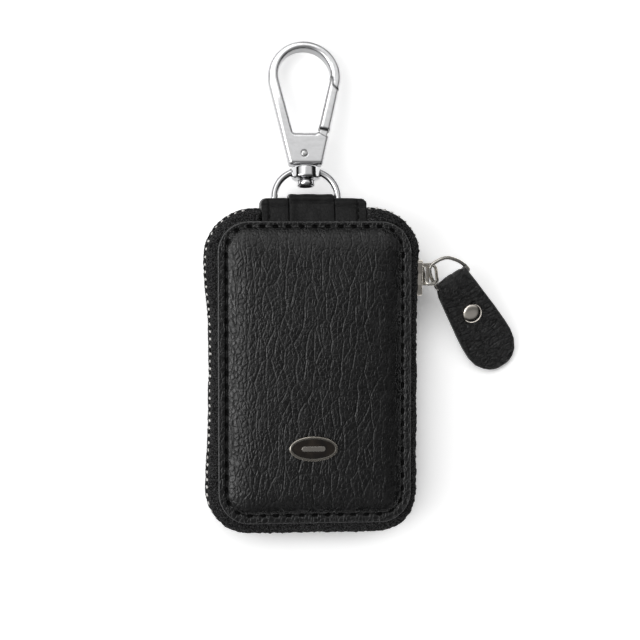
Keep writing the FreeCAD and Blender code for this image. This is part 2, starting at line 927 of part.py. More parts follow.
def strap_rivet_pin(radius, low, high):
    tail = strap_end - strap_loop_place
    foot = Vector(0, strap_loop_place + loop_outer + (tail - loop_outer) * strap_rivet_share, low)
    return Part.makeCylinder(radius, high - low, foot)


strap_top = strap_floor + 2 * strap_leather


def key_strap_rivet():
    head = strap_rivet_pin(strap_rivet_radius, strap_top, strap_top + strap_rivet_head)
    crown = edges_at(head, lambda p: p.z > strap_top + strap_rivet_head - touching)
    head = head.makeFillet(strap_rivet_head / 2, crown)
    post = strap_rivet_pin(strap_rivet_post, strap_floor, strap_top)
    foot = strap_rivet_pin(strap_rivet_foot_radius, strap_floor, strap_floor + strap_rivet_foot)
    return head.fuse([post, foot]).removeSplitter()


def key_strap():
    """Leather strap doubled round the key ring, sewn in at the hinge patch."""
    tail = box(
        Vector(-strap_half_width, strap_loop_place, strap_floor),
        Vector(strap_half_width, strap_end, strap_top),
    )
    loop = strap_cylinder(loop_outer).fuse(tail).cut(strap_cylinder(strap_loop_radius))
    return loop.cut(key_strap_rivet()).removeSplitter()


ring_centre = Vector(0, strap_loop_place - key_ring_radius, loop_height_inside)


def helix_point(quarter):
    """Point and direction on the key ring's line, counted in quarter turns from its end."""
    turn = 2 * math.pi * quarter / quarters_per_turn
    rise = key_ring_pitch * (quarter / quarters_per_turn - key_ring_turns / 2)
    out = Vector(math.sin(turn), -math.cos(turn), 0)
    ahead = Vector(math.cos(turn), math.sin(turn), key_ring_pitch / (2 * math.pi * key_ring_radius))
    return ring_centre + out * key_ring_radius + Vector(0, 0, rise), ahead.normalize()


def arc_between(start, corner, end):
    """Arc that leaves start towards a corner and reaches end from it, both equally far from the corner."""
    chord = (start + end) * 0.5
    cosine = start.distanceToPoint(end) / (2 * start.distanceToPoint(corner))
    return Part.Arc(start, chord + (corner - chord) * (cosine / (1 + cosine)), end).toShape()


def biarc(start, start_ahead, end, end_ahead):
    """Two tangent arcs from one point and direction to another."""
    span = end - start
    both = start_ahead + end_ahead
    bend = 2 * (1 - start_ahead.dot(end_ahead))
    along = span.dot(both)
    reach = (math.sqrt(along * along + bend * span.dot(span)) - along) / bend
    first_corner = start + start_ahead * reach
    last_corner = end - end_ahead * reach
    joint = (first_corner + last_corner) * 0.5
    return [arc_between(start, first_corner, joint), arc_between(joint, last_corner, end)]


def key_ring():
    """Split ring of two turns, one unbroken wire."""
    stations = [helix_point(q) for q in range(key_ring_turns * quarters_per_turn + 1)]
    edges = []
    for (start, start_ahead), (end, end_ahead) in zip(stations, stations[1:]):
        edges += biarc(start, start_ahead, end, end_ahead)
    path = Part.Wire(edges)
    report_turn_gap(edges)
    start, ahead = stations[0]
    section = Part.Wire(Part.makeCircle(key_ring_wire_radius, start, ahead))
    return path.makePipeShell([section], True, False)


def report_turn_gap(edges):
    """Prints the least gap between the wire's turns, measured on points of its line."""
    points_per_edge = 6
    points = [p for edge in edges for p in edge.discretize(points_per_edge)]
    apart = len(points) // (2 * key_ring_turns)
    nearest = min(p.distanceToPoint(q) for i, p in enumerate(points) for q in points[i + apart :])
    print("key ring: least gap between turns", round(nearest - 2 * key_ring_wire_radius, 3), "mm")


front_only = {
    "leather": front_leather,
    "foam": front_foam,
    "lining": front_lining,
    "zip_tape": front_zip_tape,
}
hook_pieces = {
    "swivel_d_loop": swivel_d_loop,
    "swivel_stem": swivel_stem,
    "stem_cross_pin": stem_cross_pin,
    "hook_body": hook_body,
    "gate_lever": gate_lever,
    "gate_pivot_pin": gate_pivot_pin,
    "gate_spring": gate_spring,
}
other_pieces = [
    front_zip_teeth,
    back_zip_teeth,
    hinge_patch,
    keeper_band,
    slider_body,
    slider_crown,
    pull_link,
    pull_d_ring,
    pull_tab,
    pull_rivet_cap,
    pull_rivet_base,
    badge_base,
    badge_inlay,
    badge_bar,
    key_strap,
    key_strap_rivet,
    key_ring,
]

pieces = {}
for name, make in front_only.items():
    pieces["front_" + name] = make()
    pieces["back_" + name] = to_back(pieces["front_" + name])
for name, make in hook_pieces.items():
    pieces[name] = hung(make())
for make in other_pieces:
    pieces[make.__name__] = make()

os.makedirs("parts", exist_ok=True)
for name, shape in pieces.items():
    shape.exportStep("parts/" + name + ".step")
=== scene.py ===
import math

import bmesh
import bpy
import numpy as np
from mathutils import Matrix, Vector


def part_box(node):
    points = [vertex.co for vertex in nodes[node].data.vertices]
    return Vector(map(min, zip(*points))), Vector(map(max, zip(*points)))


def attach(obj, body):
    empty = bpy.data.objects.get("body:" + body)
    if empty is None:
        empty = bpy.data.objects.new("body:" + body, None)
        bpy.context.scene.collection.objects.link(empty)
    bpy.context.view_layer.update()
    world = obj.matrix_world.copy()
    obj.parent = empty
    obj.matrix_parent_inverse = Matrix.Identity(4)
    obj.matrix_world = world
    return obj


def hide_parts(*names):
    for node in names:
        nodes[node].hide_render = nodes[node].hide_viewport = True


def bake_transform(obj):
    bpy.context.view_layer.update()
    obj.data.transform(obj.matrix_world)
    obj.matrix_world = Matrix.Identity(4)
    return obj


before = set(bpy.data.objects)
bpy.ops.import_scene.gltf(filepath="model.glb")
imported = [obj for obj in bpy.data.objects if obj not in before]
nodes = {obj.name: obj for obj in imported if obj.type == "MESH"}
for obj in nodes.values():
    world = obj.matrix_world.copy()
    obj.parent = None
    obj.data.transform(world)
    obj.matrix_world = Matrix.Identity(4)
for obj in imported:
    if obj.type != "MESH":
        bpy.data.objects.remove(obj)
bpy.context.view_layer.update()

scene = bpy.context.scene
MM = 0.001
TINY = 1e-9
FAR = 1e9
QUARTER = math.pi / 2

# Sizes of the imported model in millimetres. An outline is half width, half length and corner radius.
MIDDLE = 12.5  # height of the plane between the halves
PANEL = (29.2, 45.6, 9.5)
LINING = (28.8, 45.2, 9.1)
LINING_TOP = 20.8
TAPE = (31.3, 48.8, 13.3)
TAPE_THICKNESS = 0.6
SEAM_HEIGHT = 7.8  # height over the middle at which a tape leaves its panel
ROW = (31.0, 48.5, 13.0)  # the rows of teeth
OPEN_ZIP_START = 30.3  # the Y from which the zip stands open on the right
HOOK_ORIGIN = np.array((-1.9, 51.1, 12.5))
HOOK_TURN = math.radians(11.376)  # how far the hook slopes down to the floor
HOOK_UP = (0, math.sin(HOOK_TURN), math.cos(HOOK_TURN))
HOOK_ALONG = np.array((0, math.cos(HOOK_TURN), -math.sin(HOOK_TURN)))
TAB_AXES = (
    (43.73237, 27.55214, 10.94264),
    (0.4996621, -0.8153744, -0.2924078),
    (0.8526402, 0.5224986, 0.0),
    (0.1527826, -0.2493186, 0.9562937),
)  # the pull tab's origin, and its directions ahead, to its side and up
ACROSS = (1, 0, 0)

# Noise
LATTICE = 64
NOISE_STEP = (5, 11)  # how far a shift of 1 moves along the lattice
CELL_STEP = (7, 13)
lattice = np.random.default_rng(11).random((3, LATTICE, LATTICE))


def ease(t):
    """0 to 1 with a smooth start and end."""
    t = np.clip(t, 0, 1)
    return t * t * (3 - 2 * t)


def step(value, start, end):
    """0 up to start and 1 from end on, smooth between them."""
    return ease((value - start) / (end - start))


def between(low, high, share):
    return low + (high - low) * share


def ridge(value, middle, width):
    """1 at the middle, falling off over a width on both sides."""
    return np.exp(-(((value - middle) / width) ** 2))


def noise(u, v, shift=0):
    """Smooth noise, 0 to 1, with a feature size of 1."""
    iu, iv = np.floor(u).astype(int), np.floor(v).astype(int)
    fu, fv = ease(u - iu), ease(v - iv)

    def at(a, b):
        row = (iu + a + NOISE_STEP[0] * shift) % LATTICE
        column = (iv + b + NOISE_STEP[1] * shift) % LATTICE
        return lattice[0, row, column]

    low = at(0, 0) * (1 - fu) + at(1, 0) * fu
    high = at(0, 1) * (1 - fu) + at(1, 1) * fu
    return low * (1 - fv) + high * fv


def waves(x, y, size, shift=0):
    """Noise from -0.5 to 0.5, with features of a size in X and Y."""
    return noise(x / size[0], y / size[1], shift) - 0.5


# Noise that bends the rows of leather cells and frays their borders: reach in cells, size in millimetres
BENDS = ((0.7, 7, 11), (0.7, 5, 9))
FRAYS = ((0.1, 1.6, 1.9), (0.06, 1.3, 1.7))
FAINTEST_CREASE = 0.45  # share of its depth that the faintest crease keeps


def warp(x, y, reach, size_x, size_y, shift):
    return reach * noise(x / size_x, y / size_y, shift)


def creases(x, y, cell, width, bias, shift):
    """Depth, 0 to 1, of the creases between leather cells, with a bias to those along Y."""
    u = x / cell[0] + warp(x, y, *BENDS[0], shift) + warp(x, y, *FRAYS[0], shift + 2)
    v = y / cell[1] + warp(x, y, *BENDS[1], shift + 1) + warp(x, y, *FRAYS[1], shift + 3)
    iu, iv = np.floor(u).astype(int), np.floor(v).astype(int)

    def seed(cu, cv):
        a, b = (cu + CELL_STEP[0] * shift) % LATTICE, (cv + CELL_STEP[1] * shift) % LATTICE
        return cu + lattice[1, a, b] - u, cv + lattice[2, a, b] - v

    around = [(a, b) for a in range(-2, 3) for b in range(-2, 3)]
    nearest = np.full(u.shape, FAR)
    ru, rv, cu, cv = (np.zeros(u.shape) for _ in range(4))
    for a, b in around:
        su, sv = seed(iu + a, iv + b)
        closer = su * su + sv * sv < nearest
        nearest = np.where(closer, su * su + sv * sv, nearest)
        ru, rv = np.where(closer, su, ru), np.where(closer, sv, rv)
        cu, cv = np.where(closer, iu + a, cu), np.where(closer, iv + b, cv)
    cu, cv = cu.astype(int), cv.astype(int)
    border = np.full(u.shape, FAR)
    along, strength = np.zeros(u.shape), np.zeros(u.shape)
    for a, b in around:
        if a == 0 and b == 0:
            continue
        su, sv = seed(cu + a, cv + b)
        du, dv = su - ru, sv - rv
        size = np.hypot(du, dv) + TINY
        du, dv = du / size, dv / size
        slope = np.hypot(du / cell[0], dv / cell[1])
        far = ((ru + su) * du + (rv + sv) * dv) / 2 / slope
        closer = far < border
        border = np.where(closer, far, border)
        along = np.where(closer, np.abs(du / cell[0]) / slope, along)
        mixed = lattice[0, (2 * cu + a + shift) % LATTICE, (2 * cv + b) % LATTICE]
        strength = np.where(closer, mixed, strength)
    return ridge(border, 0, width) * between(FAINTEST_CREASE, 1, strength) * between(1 - bias, 1, along**2)


# Mesh helpers
def placed(name, data):
    """A new object in the scene."""
    obj = bpy.data.objects.new(name, data)
    scene.collection.objects.link(obj)
    return obj


def piece(name, points, faces, material, body, stands_for=()):
    """A smooth mesh piece from points in millimetres, riding on a body if one is given."""
    mesh = bpy.data.meshes.new(name)
    mesh.from_pydata((np.asarray(points, float) * MM).tolist(), [], faces)
    mesh.validate()
    made = bmesh.new()
    made.from_mesh(mesh)
    bmesh.ops.recalc_face_normals(made, faces=made.faces)
    made.to_mesh(mesh)
    made.free()
    mesh.shade_smooth()
    obj = placed(name, mesh)
    mesh.materials.append(material)
    if body:
        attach(obj, body)
    if stands_for:
        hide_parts(*stands_for)
    return obj


def attribute(obj, name, values):
    layer = obj.data.attributes.new(name, "FLOAT", "POINT")
    layer.data.foreach_set("value", np.asarray(values, np.float32))


def strip_faces(rows, columns, close_rows=False, close_columns=False):
    """Quads of a grid of points stored row by row."""
    faces = []
    for i in range(rows if close_rows else rows - 1):
        for j in range(columns if close_columns else columns - 1):
            a, b = i, (i + 1) % rows
            c, d = j, (j + 1) % columns
            faces.append((a * columns + c, a * columns + d, b * columns + d, b * columns + c))
    return faces


def tube_faces(rows, columns, start=0):
    """Quads of a tube whose rows are rings of points, with a cap at both ends."""
    faces = strip_faces(rows, columns, close_columns=True)
    faces += [tuple(range(columns)), tuple((rows - 1) * columns + k for k in range(columns))]
    return [tuple(start + k for k in face) for face in faces]


def circle(sides):
    return [2 * math.pi * k / sides for k in range(sides)]


def shrunk(outline, by):
    return tuple(size - by for size in outline)


def inset(x, y, outline):
    """Distance inwards from a rounded rectangle, negative outside it."""
    half_x, half_y, radius = outline
    qx, qy = np.abs(x) - (half_x - radius), np.abs(y) - (half_y - radius)
    outside = np.hypot(np.maximum(qx, 0), np.maximum(qy, 0))
    return radius - outside - np.minimum(np.maximum(qx, qy), 0)


def onto(x, y, outline):
    """Points outside a rounded rectangle, moved to its edge."""
    half_x, half_y, radius = outline
    cx = np.clip(x, radius - half_x, half_x - radius)
    cy = np.clip(y, radius - half_y, half_y - radius)
    away = np.hypot(x - cx, y - cy)
    share = np.where(away > radius, radius / np.maximum(away, TINY), 1)
    return cx + (x - cx) * share, cy + (y - cy) * share


def inner_faces(rows, columns, depth):
    """Quads of a grid that was moved onto an outline, without those that fell flat on its edge."""
    depth = depth.reshape(-1)
    return [f for f in strip_faces(rows, columns) if max(depth[k] for k in f) > 1e-6]


def runs_of(outline):
    """Lengths of a rounded rectangle's straights, from the middle of its top, and of one corner."""
    half_x, half_y, radius = outline
    across, along = half_x - radius, 2 * (half_y - radius)
    return (across, along, 2 * across, along, across), radius * QUARTER


def ring(outline, spacing):
    """Points and headings clockwise from the middle of the top, as many for every outline."""
    radius = outline[2]
    runs, _ = runs_of(outline)
    counts, corner = runs_of(TAPE)
    points = []
    x, y, heading = 0.0, outline[1], 0.0
    for i, run in enumerate(runs):
        count = max(1, round(counts[i] / spacing))
        for k in range(count):
            reach = run * k / count
            points.append((x + reach * math.cos(heading), y + reach * math.sin(heading), heading))
        x, y = x + run * math.cos(heading), y + run * math.sin(heading)
        if i == len(runs) - 1:
            break
        centre = (x + radius * math.sin(heading), y - radius * math.cos(heading))
        count = max(2, round(corner / spacing))
        for k in range(count):
            turn = heading - QUARTER * k / count
            points.append((centre[0] - radius * math.sin(turn), centre[1] + radius * math.cos(turn), turn))
        heading -= QUARTER
        x, y = centre[0] - radius * math.sin(heading), centre[1] + radius * math.cos(heading)
    return np.array(points)


# Materials
def grey(value):
    return (value, value, value)


def shader(name, color, roughness, **settings):
    """Principled material with its constants set on its own sockets."""
    material = bpy.data.materials.new(name)
    material.use_nodes = True
    tree = material.node_tree
    surface = tree.nodes["Principled BSDF"]
    surface.inputs["Base Color"].default_value = (*color, 1)
    surface.inputs["Roughness"].default_value = roughness
    for key, value in settings.items():
        surface.inputs[key.replace("_", " ")].default_value = value
    place = tree.nodes.new("ShaderNodeTexCoord").outputs["Object"]
    return material, tree, place


def wire(tree, **sockets):
    """Links sockets to the inputs of a material's own shader."""
    surface = tree.nodes["Principled BSDF"]
    for key, socket in sockets.items():
        tree.links.new(socket, surface.inputs[key.replace("_", " ")])


def node(tree, kind, wires=(), **values):
    """Adds a node. Wires are (input, socket) pairs, values are inputs or settings."""
    made = tree.nodes.new("ShaderNode" + kind)
    for key, value in values.items():
        if hasattr(made, key):
            setattr(made, key, value)
        else:
            made.inputs[key.replace("_", " ")].default_value = value
    for key, socket in wires:
        tree.links.new(socket, made.inputs[key])
    return made


def remap(tree, socket, span, to):
    """A socket's values from one span taken smoothly to another."""
    made = node(tree, "MapRange", [("Value", socket)], interpolation_type="SMOOTHSTEP")
    for key, value in zip(("From Min", "From Max", "To Min", "To Max"), (*span, *to)):
        made.inputs[key].default_value = value
    return made.outputs["Result"]


def math_node(tree, operation, *values):
    """The result of an operation on sockets and numbers."""
    made = node(tree, "Math", operation=operation)
    for i, value in enumerate(values):
        if isinstance(value, (int, float)):
            made.inputs[i].default_value = value
        else:
            tree.links.new(value, made.inputs[i])
    return made.outputs[0]


def ramp(tree, socket, *stops):
    """Colour ramp through (place, colour) stops."""
    made = node(tree, "ValToRGB", [("Fac", socket)])
    elements = made.color_ramp.elements
    while len(elements) < len(stops):
        elements.new(0.5)
    for element, (place, color) in zip(elements, stops):
        element.position = place
        element.color = (*color, 1)
    return made.outputs["Color"]


def tinted(tree, amount, under, color):
    """A colour laid over another by an amount."""
    made = node(tree, "MixRGB", [("Fac", amount), ("Color1", under)], Color2=(*color, 1))
    return made.outputs["Color"]


def speckle(tree, place, scale, detail, output="Fac"):
    return node(tree, "TexNoise", [("Vector", place)], Scale=scale, Detail=detail).outputs[output]


def stored(tree, name):
    """A value that the mesh carries at its points."""
    return node(tree, "Attribute", attribute_name=name).outputs["Fac"]


WANDER = (0.0006, 0.0008, 0.0006)  # how far noise shifts the leather's fine cells, in metres
CELL_STRETCH = (1.0, 0.7, 1.0)
CRACK_WIDTH = 0.14
PORE_HEIGHT = 0.16
SWELL_HEIGHT = 0.6
# Colour and extra roughness of the painted shade in creases, seams and stitch holes
SUNK_SHADE_COLOR = grey(0.0012)
SUNK_SHADE_ROUGHNESS = 0.4
# Lighter colour along the rolled edge: partly edge paint, partly a painted highlight
EDGE_PAINT_HIGHLIGHT_COLOR = (0.085, 0.085, 0.087)


def leather(name, color, light, roughness, shine, grain, depth, varied=False):
    """Grained leather: fine cells with cracks between them, a softer swell, painted shade in creases, seams
    and holes, and a lighter rolled edge, partly edge paint and partly a painted highlight.
    """
    material, tree, place = shader(name, color, roughness, Specular_IOR_Level=shine)
    wander = speckle(tree, place, 700.0, 2.0, "Color")
    shifted = node(tree, "VectorMath", [(0, wander), (2, place)], operation="MULTIPLY_ADD")
    shifted.inputs[1].default_value = WANDER
    stretched = node(tree, "Mapping", [("Vector", shifted.outputs[0])], Scale=CELL_STRETCH).outputs[0]
    cells = node(tree, "TexVoronoi", [("Vector", stretched)], feature="DISTANCE_TO_EDGE", Scale=grain)
    cracks = remap(tree, cells.outputs["Distance"], (0.0, CRACK_WIDTH), (0.0, 1.0))
    pores = speckle(tree, place, 2200.0, 3.0)
    swell = speckle(tree, place, 260.0, 2.0)
    height = math_node(tree, "MULTIPLY_ADD", pores, PORE_HEIGHT, cracks)
    height = math_node(tree, "MULTIPLY_ADD", swell, SWELL_HEIGHT, height)
    bump = node(tree, "Bump", [("Height", height)], Strength=0.55, Distance=depth)
    if varied:
        tree.links.new(stored(tree, "grain"), bump.inputs["Strength"])
    tone = math_node(tree, "MULTIPLY", cracks, pores)
    skin = ramp(tree, tone, (0.0, color), (0.35, color), (0.7, light))
    # Painted shade and highlight: stored masks darken the colour and dull the gloss in creases, seams and
    # stitch holes, and lighten it along the rolled edge, partly as edge paint
    sunk_shade = stored(tree, "sunk_shade")
    sunk_shaded = tinted(tree, sunk_shade, skin, SUNK_SHADE_COLOR)
    edge_paint_highlight = tinted(tree, stored(tree, "edge_paint_highlight"), sunk_shaded, EDGE_PAINT_HIGHLIGHT_COLOR)
    polish = remap(tree, swell, (0.3, 0.7), (roughness - 0.06, roughness + 0.08))
    dulled = math_node(tree, "MULTIPLY_ADD", sunk_shade, SUNK_SHADE_ROUGHNESS, polish)
    wire(tree, Normal=bump.outputs["Normal"], Base_Color=edge_paint_highlight, Roughness=dulled)
    return material


FUZZ_HEIGHT = 1.6


def woven(name, color, light, pitch, depth):
    """Woven cloth: crossing threads along the three axes, with a fuzzy surface."""
    material, tree, place = shader(name, color, 0.85, Specular_IOR_Level=0.15)
    threads = []
    for direction in ("X", "Y", "Z"):
        wave = node(
            tree, "TexWave", [("Vector", place)],
            bands_direction=direction, Scale=pitch, Distortion=1.2, Detail_Scale=400.0,
        )
        threads.append(wave.outputs["Fac"])
    crossed = math_node(tree, "ADD", math_node(tree, "ADD", threads[0], threads[1]), threads[2])
    fuzz = speckle(tree, place, 2600.0, 4.0)
    height = math_node(tree, "MULTIPLY_ADD", fuzz, FUZZ_HEIGHT, crossed)
    bump = node(tree, "Bump", [("Height", height)], Strength=0.9, Distance=depth)
    faded = ramp(tree, fuzz, (0.42, color), (0.72, light))
    wire(tree, Normal=bump.outputs["Normal"], Base_Color=faded)
    return material


STREAKS = (1.0, 2.0, 1.5)
STREAK_TONE = 0.93
# Colour of the painted shade along metal edges
EDGE_SHADE_COLOR = grey(0.05)


def metal(name, color, roughness, wear, edge=0.0004, shaded_walls=None):
    """Plated metal with streaks, uneven polish, painted shade along its edges and, on the hook, painted
    shade on its side walls.
    """
    material, tree, place = shader(name, color, roughness, Metallic=1.0)
    streaks = node(tree, "Mapping", [("Vector", place)], Scale=STREAKS).outputs[0]
    fine = speckle(tree, streaks, 420.0, 5.0)
    broad = speckle(tree, place, 180.0, 2.0)
    polish = remap(tree, broad, (0.3, 0.75), (roughness * 0.7, roughness + wear))
    darker = tuple(c * STREAK_TONE for c in color)
    plated = ramp(tree, fine, (0.3, darker), (0.6, color))
    # Painted shade: on the hook, faces turned away from its top and bottom get a darker colour, standing in
    # for dark reflections on its side walls
    if shaded_walls:
        tilt = node(tree, "VectorMath", [(0, place.node.outputs["Normal"])], operation="DOT_PRODUCT")
        tilt.inputs[1].default_value = HOOK_UP
        facing = math_node(tree, "ABSOLUTE", tilt.outputs["Value"])
        plated = tinted(tree, remap(tree, facing, (0.3, 0.75), (0.85, 0.0)), plated, shaded_walls)
    # Painted shade: colour darkened close to the edges, where the rounded normal turns from the face, as
    # dark outlines in the reflections
    rounded = node(tree, "Bevel", samples=6, Radius=edge).outputs["Normal"]
    flat = node(tree, "NewGeometry").outputs["Normal"]
    bent = node(tree, "VectorMath", [(0, rounded), (1, flat)], operation="DOT_PRODUCT")
    edge_shade = remap(tree, bent.outputs["Value"], (0.9, 0.997), (0.95, 0.0))
    edge_shaded = tinted(tree, edge_shade, plated, EDGE_SHADE_COLOR)
    bump = node(tree, "Bump", [("Height", fine), ("Normal", rounded)], Strength=0.06, Distance=0.00001)
    wire(tree, Normal=bump.outputs["Normal"], Base_Color=edge_shaded, Roughness=polish)
    return material


panel_leather = leather(
    "panel_leather", (0.004, 0.004, 0.0042), (0.01, 0.01, 0.0105),
    roughness=0.25, shine=0.5, grain=900.0, depth=0.0001, varied=True,
)
trim_leather = leather(
    "trim_leather", (0.005, 0.005, 0.0052), (0.012, 0.012, 0.0124),
    roughness=0.38, shine=0.24, grain=1000.0, depth=0.00005,
)
tab_leather = leather(
    "tab_leather", (0.006, 0.006, 0.0062), (0.018, 0.018, 0.0185),
    roughness=0.32, shine=0.45, grain=1300.0, depth=0.00024,
)
tape_cloth = woven("tape_cloth", (0.003, 0.003, 0.0032), (0.14, 0.14, 0.142), pitch=700.0, depth=0.0003)
lining_cloth = woven("lining_cloth", (0.01, 0.01, 0.012), (0.025, 0.025, 0.028), pitch=1000.0, depth=0.00008)
thread = woven("thread", grey(0.0025), grey(0.012), pitch=2500.0, depth=0.00005)
chrome = metal(
    "hook_chrome", (0.84, 0.84, 0.85), roughness=0.04, wear=0.04, edge=0.0008, shaded_walls=(0.2, 0.2, 0.205)
)
# dark_chrome and pull_nickel are chrome and nickel painted darker than the hook's and the rivet's, as
# painted shade in their reflections
dark_chrome = metal("dark_chrome", (0.7, 0.7, 0.71), roughness=0.06, wear=0.04)
nickel = metal("pull_nickel", (0.6, 0.58, 0.54), roughness=0.1, wear=0.06)
rivet_metal = metal("rivet_nickel", (0.82, 0.77, 0.7), roughness=0.14, wear=0.06)
steel = metal("inner_steel", grey(0.6), roughness=0.2, wear=0.1)
tooth_metal = metal("zip_metal", (0.62, 0.61, 0.59), roughness=0.4, wear=0.1)
badge_metal = metal("badge_metal", (0.46, 0.43, 0.38), roughness=0.1, wear=0.05)

enamel, tree, place = shader("badge_enamel", (0.012, 0.009, 0.007), 0.12, Coat_Weight=0.6)
clouds = speckle(tree, place, 300.0, 3.0)
smoked = ramp(tree, clouds, (0.3, (0.008, 0.006, 0.005)), (0.75, (0.03, 0.022, 0.015)))
wire(tree, Base_Color=smoked, Roughness=remap(tree, clouds, (0.3, 0.7), (0.08, 0.2)))

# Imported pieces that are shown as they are
for material, names in (
    (chrome, ("hook_body", "gate_lever")),
    (dark_chrome, ("swivel_d_loop",)),
    (nickel, ("pull_link", "pull_rivet_base")),
    (rivet_metal, ("slider_body", "slider_crown", "badge_bar")),
    (steel, ("gate_pivot_pin", "gate_spring", "key_ring", "key_strap_rivet")),
    (badge_metal, ("badge_base",)),
    (enamel, ("badge_inlay",)),
):
    for name in names:
        nodes[name].data.materials.clear()
        nodes[name].data.materials.append(material)


# Padded panels
def graded(half, edge, fine, coarse):
    """Places from -half to half, closer together near both ends."""
    ends = np.linspace(0, edge, round(edge / fine) + 1)
    centre = np.linspace(edge - half, half - edge, round(2 * (half - edge) / coarse) + 1)
    return np.concatenate([-half + ends[:-1], centre, (half - ends[:-1])[::-1]])


# Height over the lining against the distance in from the edge: most sides, and the steeper left one
EDGE = [
    (0.0, 0.0), (0.05, 0.5), (0.12, 0.88), (0.28, 1.06), (0.5, 1.0), (0.9, 0.97), (1.45, 0.98), (2.0, 0.96),
]
RISE = [(4.2, 1.97), (5.2, 2.33), (6.5, 2.62), (8.0, 2.81), (9.5, 2.88), (50.0, 2.88)]
GENTLE_GROOVE = [(2.3, 0.9), (2.6, 0.86), (2.9, 1.05), (3.4, 1.5)]
STEEP_GROOVE = [(2.3, 0.88), (2.5, 0.5), (2.65, 0.35), (2.8, 0.85), (2.95, 1.35), (3.15, 1.58), (3.5, 1.72)]
GENTLE = EDGE + GENTLE_GROOVE + RISE
STEEP = EDGE + STEEP_GROOVE + RISE
SHARP_EDGE = 0.2  # distance in from the edge within which the knots stay sharp
ROUNDING = 15  # hundredths of a millimetre on each side that round the other knots off
PAD_LIMIT = 4.2  # greatest height over the lining
CROWN = 1.27  # further rise of the pad's middle, over its own half sizes
CROWN_HALF = (26.0, 42.5)
CROWN_POWERS = (2.2, 2.6)
TOP_SHIFT = 1.0  # how much nearer to the edge the sewn line runs along the top
TOP_RUN = (36.0, 44.0)  # the Y over which it comes nearer
BORDER_RUN = (0.3, 1.2)  # distances in from the edge over which that shift sets in
STEEP_RUN, STEEP_ENDS = (-23, -27), (41, 37)  # the X and Y over which the steep side sets in
PAD_RUN = (2.9, 4.5)  # distances in from the edge over which the pad's skin sets in
FADE_RIGHT, FADE_ENDS = (27, 11), (43, 31)  # the X and Y over which its creases grow to full depth
CRACKLE_RUN = (-8, -26)  # the X over which the crackle grows
DEEP = ((2.8, 5.8), 0.16, 0.45)  # long creases over the whole pad: cell, width and bias
SMALL = ((1.5, 1.9), 0.15, 0.1)  # crackle, mostly on its left
# Values on most of the pad and on its crackled left side
DEEP_SHARE, SMALL_SHARE = (1, 0.7), (0.16, 1)
CREASE_DEPTH, CREASE_SHADE = (0.22, 0.3), (0.6, 1)
PEBBLE_HEIGHT, GRAIN = (0.05, 0.02), (0.5, 0.25)
SWELL_SIZE, PEBBLE_SIZE, PUCKER_SIZE = (3.1, 6.5), (0.9, 1.2), (0.75, 0.75)
PAD_SWELL, BORDER_PUCKER, BORDER_GRAIN = 0.08, 0.055, 0.7
GROOVE = (2.65, 0.22)  # place and width of the dark groove along the steep side
GROOVE_SHADE = 0.75
EDGE_PAINT_HIGHLIGHT_BAND = (0.24, 0.14)  # place and width of the lighter line along the rolled edge, partly edge paint and partly a painted highlight
STITCH_COUNT = 68
STITCH_INSET = 2.6
STITCH_LENGTH = 1.4
HOLE_SIZE = (0.8, 0.4)
HOLE_DEPTH = 0.6
HOLE_REACH = 3


def profile(d, knots):
    """Heights from the knots, with the corners between them rounded off past the outer edge."""
    places, values = np.array(knots).T
    table = np.linspace(0, 30, 3001)
    heights = np.interp(table, places, values)
    window = 2 * ROUNDING + 1
    rounded = np.convolve(np.pad(heights, ROUNDING, mode="edge"), np.full(window, 1 / window), "valid")
    return np.interp(d, table, np.where(table < SHARP_EDGE, heights, rounded))


def even_points(outline, count):
    """Points and headings spaced evenly round an outline."""
    path = ring(outline, 0.1)
    closed = np.concatenate([path, path[:1]])
    run = np.concatenate([[0], np.cumsum(np.hypot(*np.diff(closed[:, :2], axis=0).T))])
    at = run[-1] * np.arange(count) / count
    columns = (closed[:, 0], closed[:, 1], np.unwrap(closed[:, 2]))
    return np.stack([np.interp(at, run, column) for column in columns], -1)


holes = even_points(shrunk(PANEL, STITCH_INSET), STITCH_COUNT)
holes[:, 1] += TOP_SHIFT * step(holes[:, 1], *TOP_RUN)


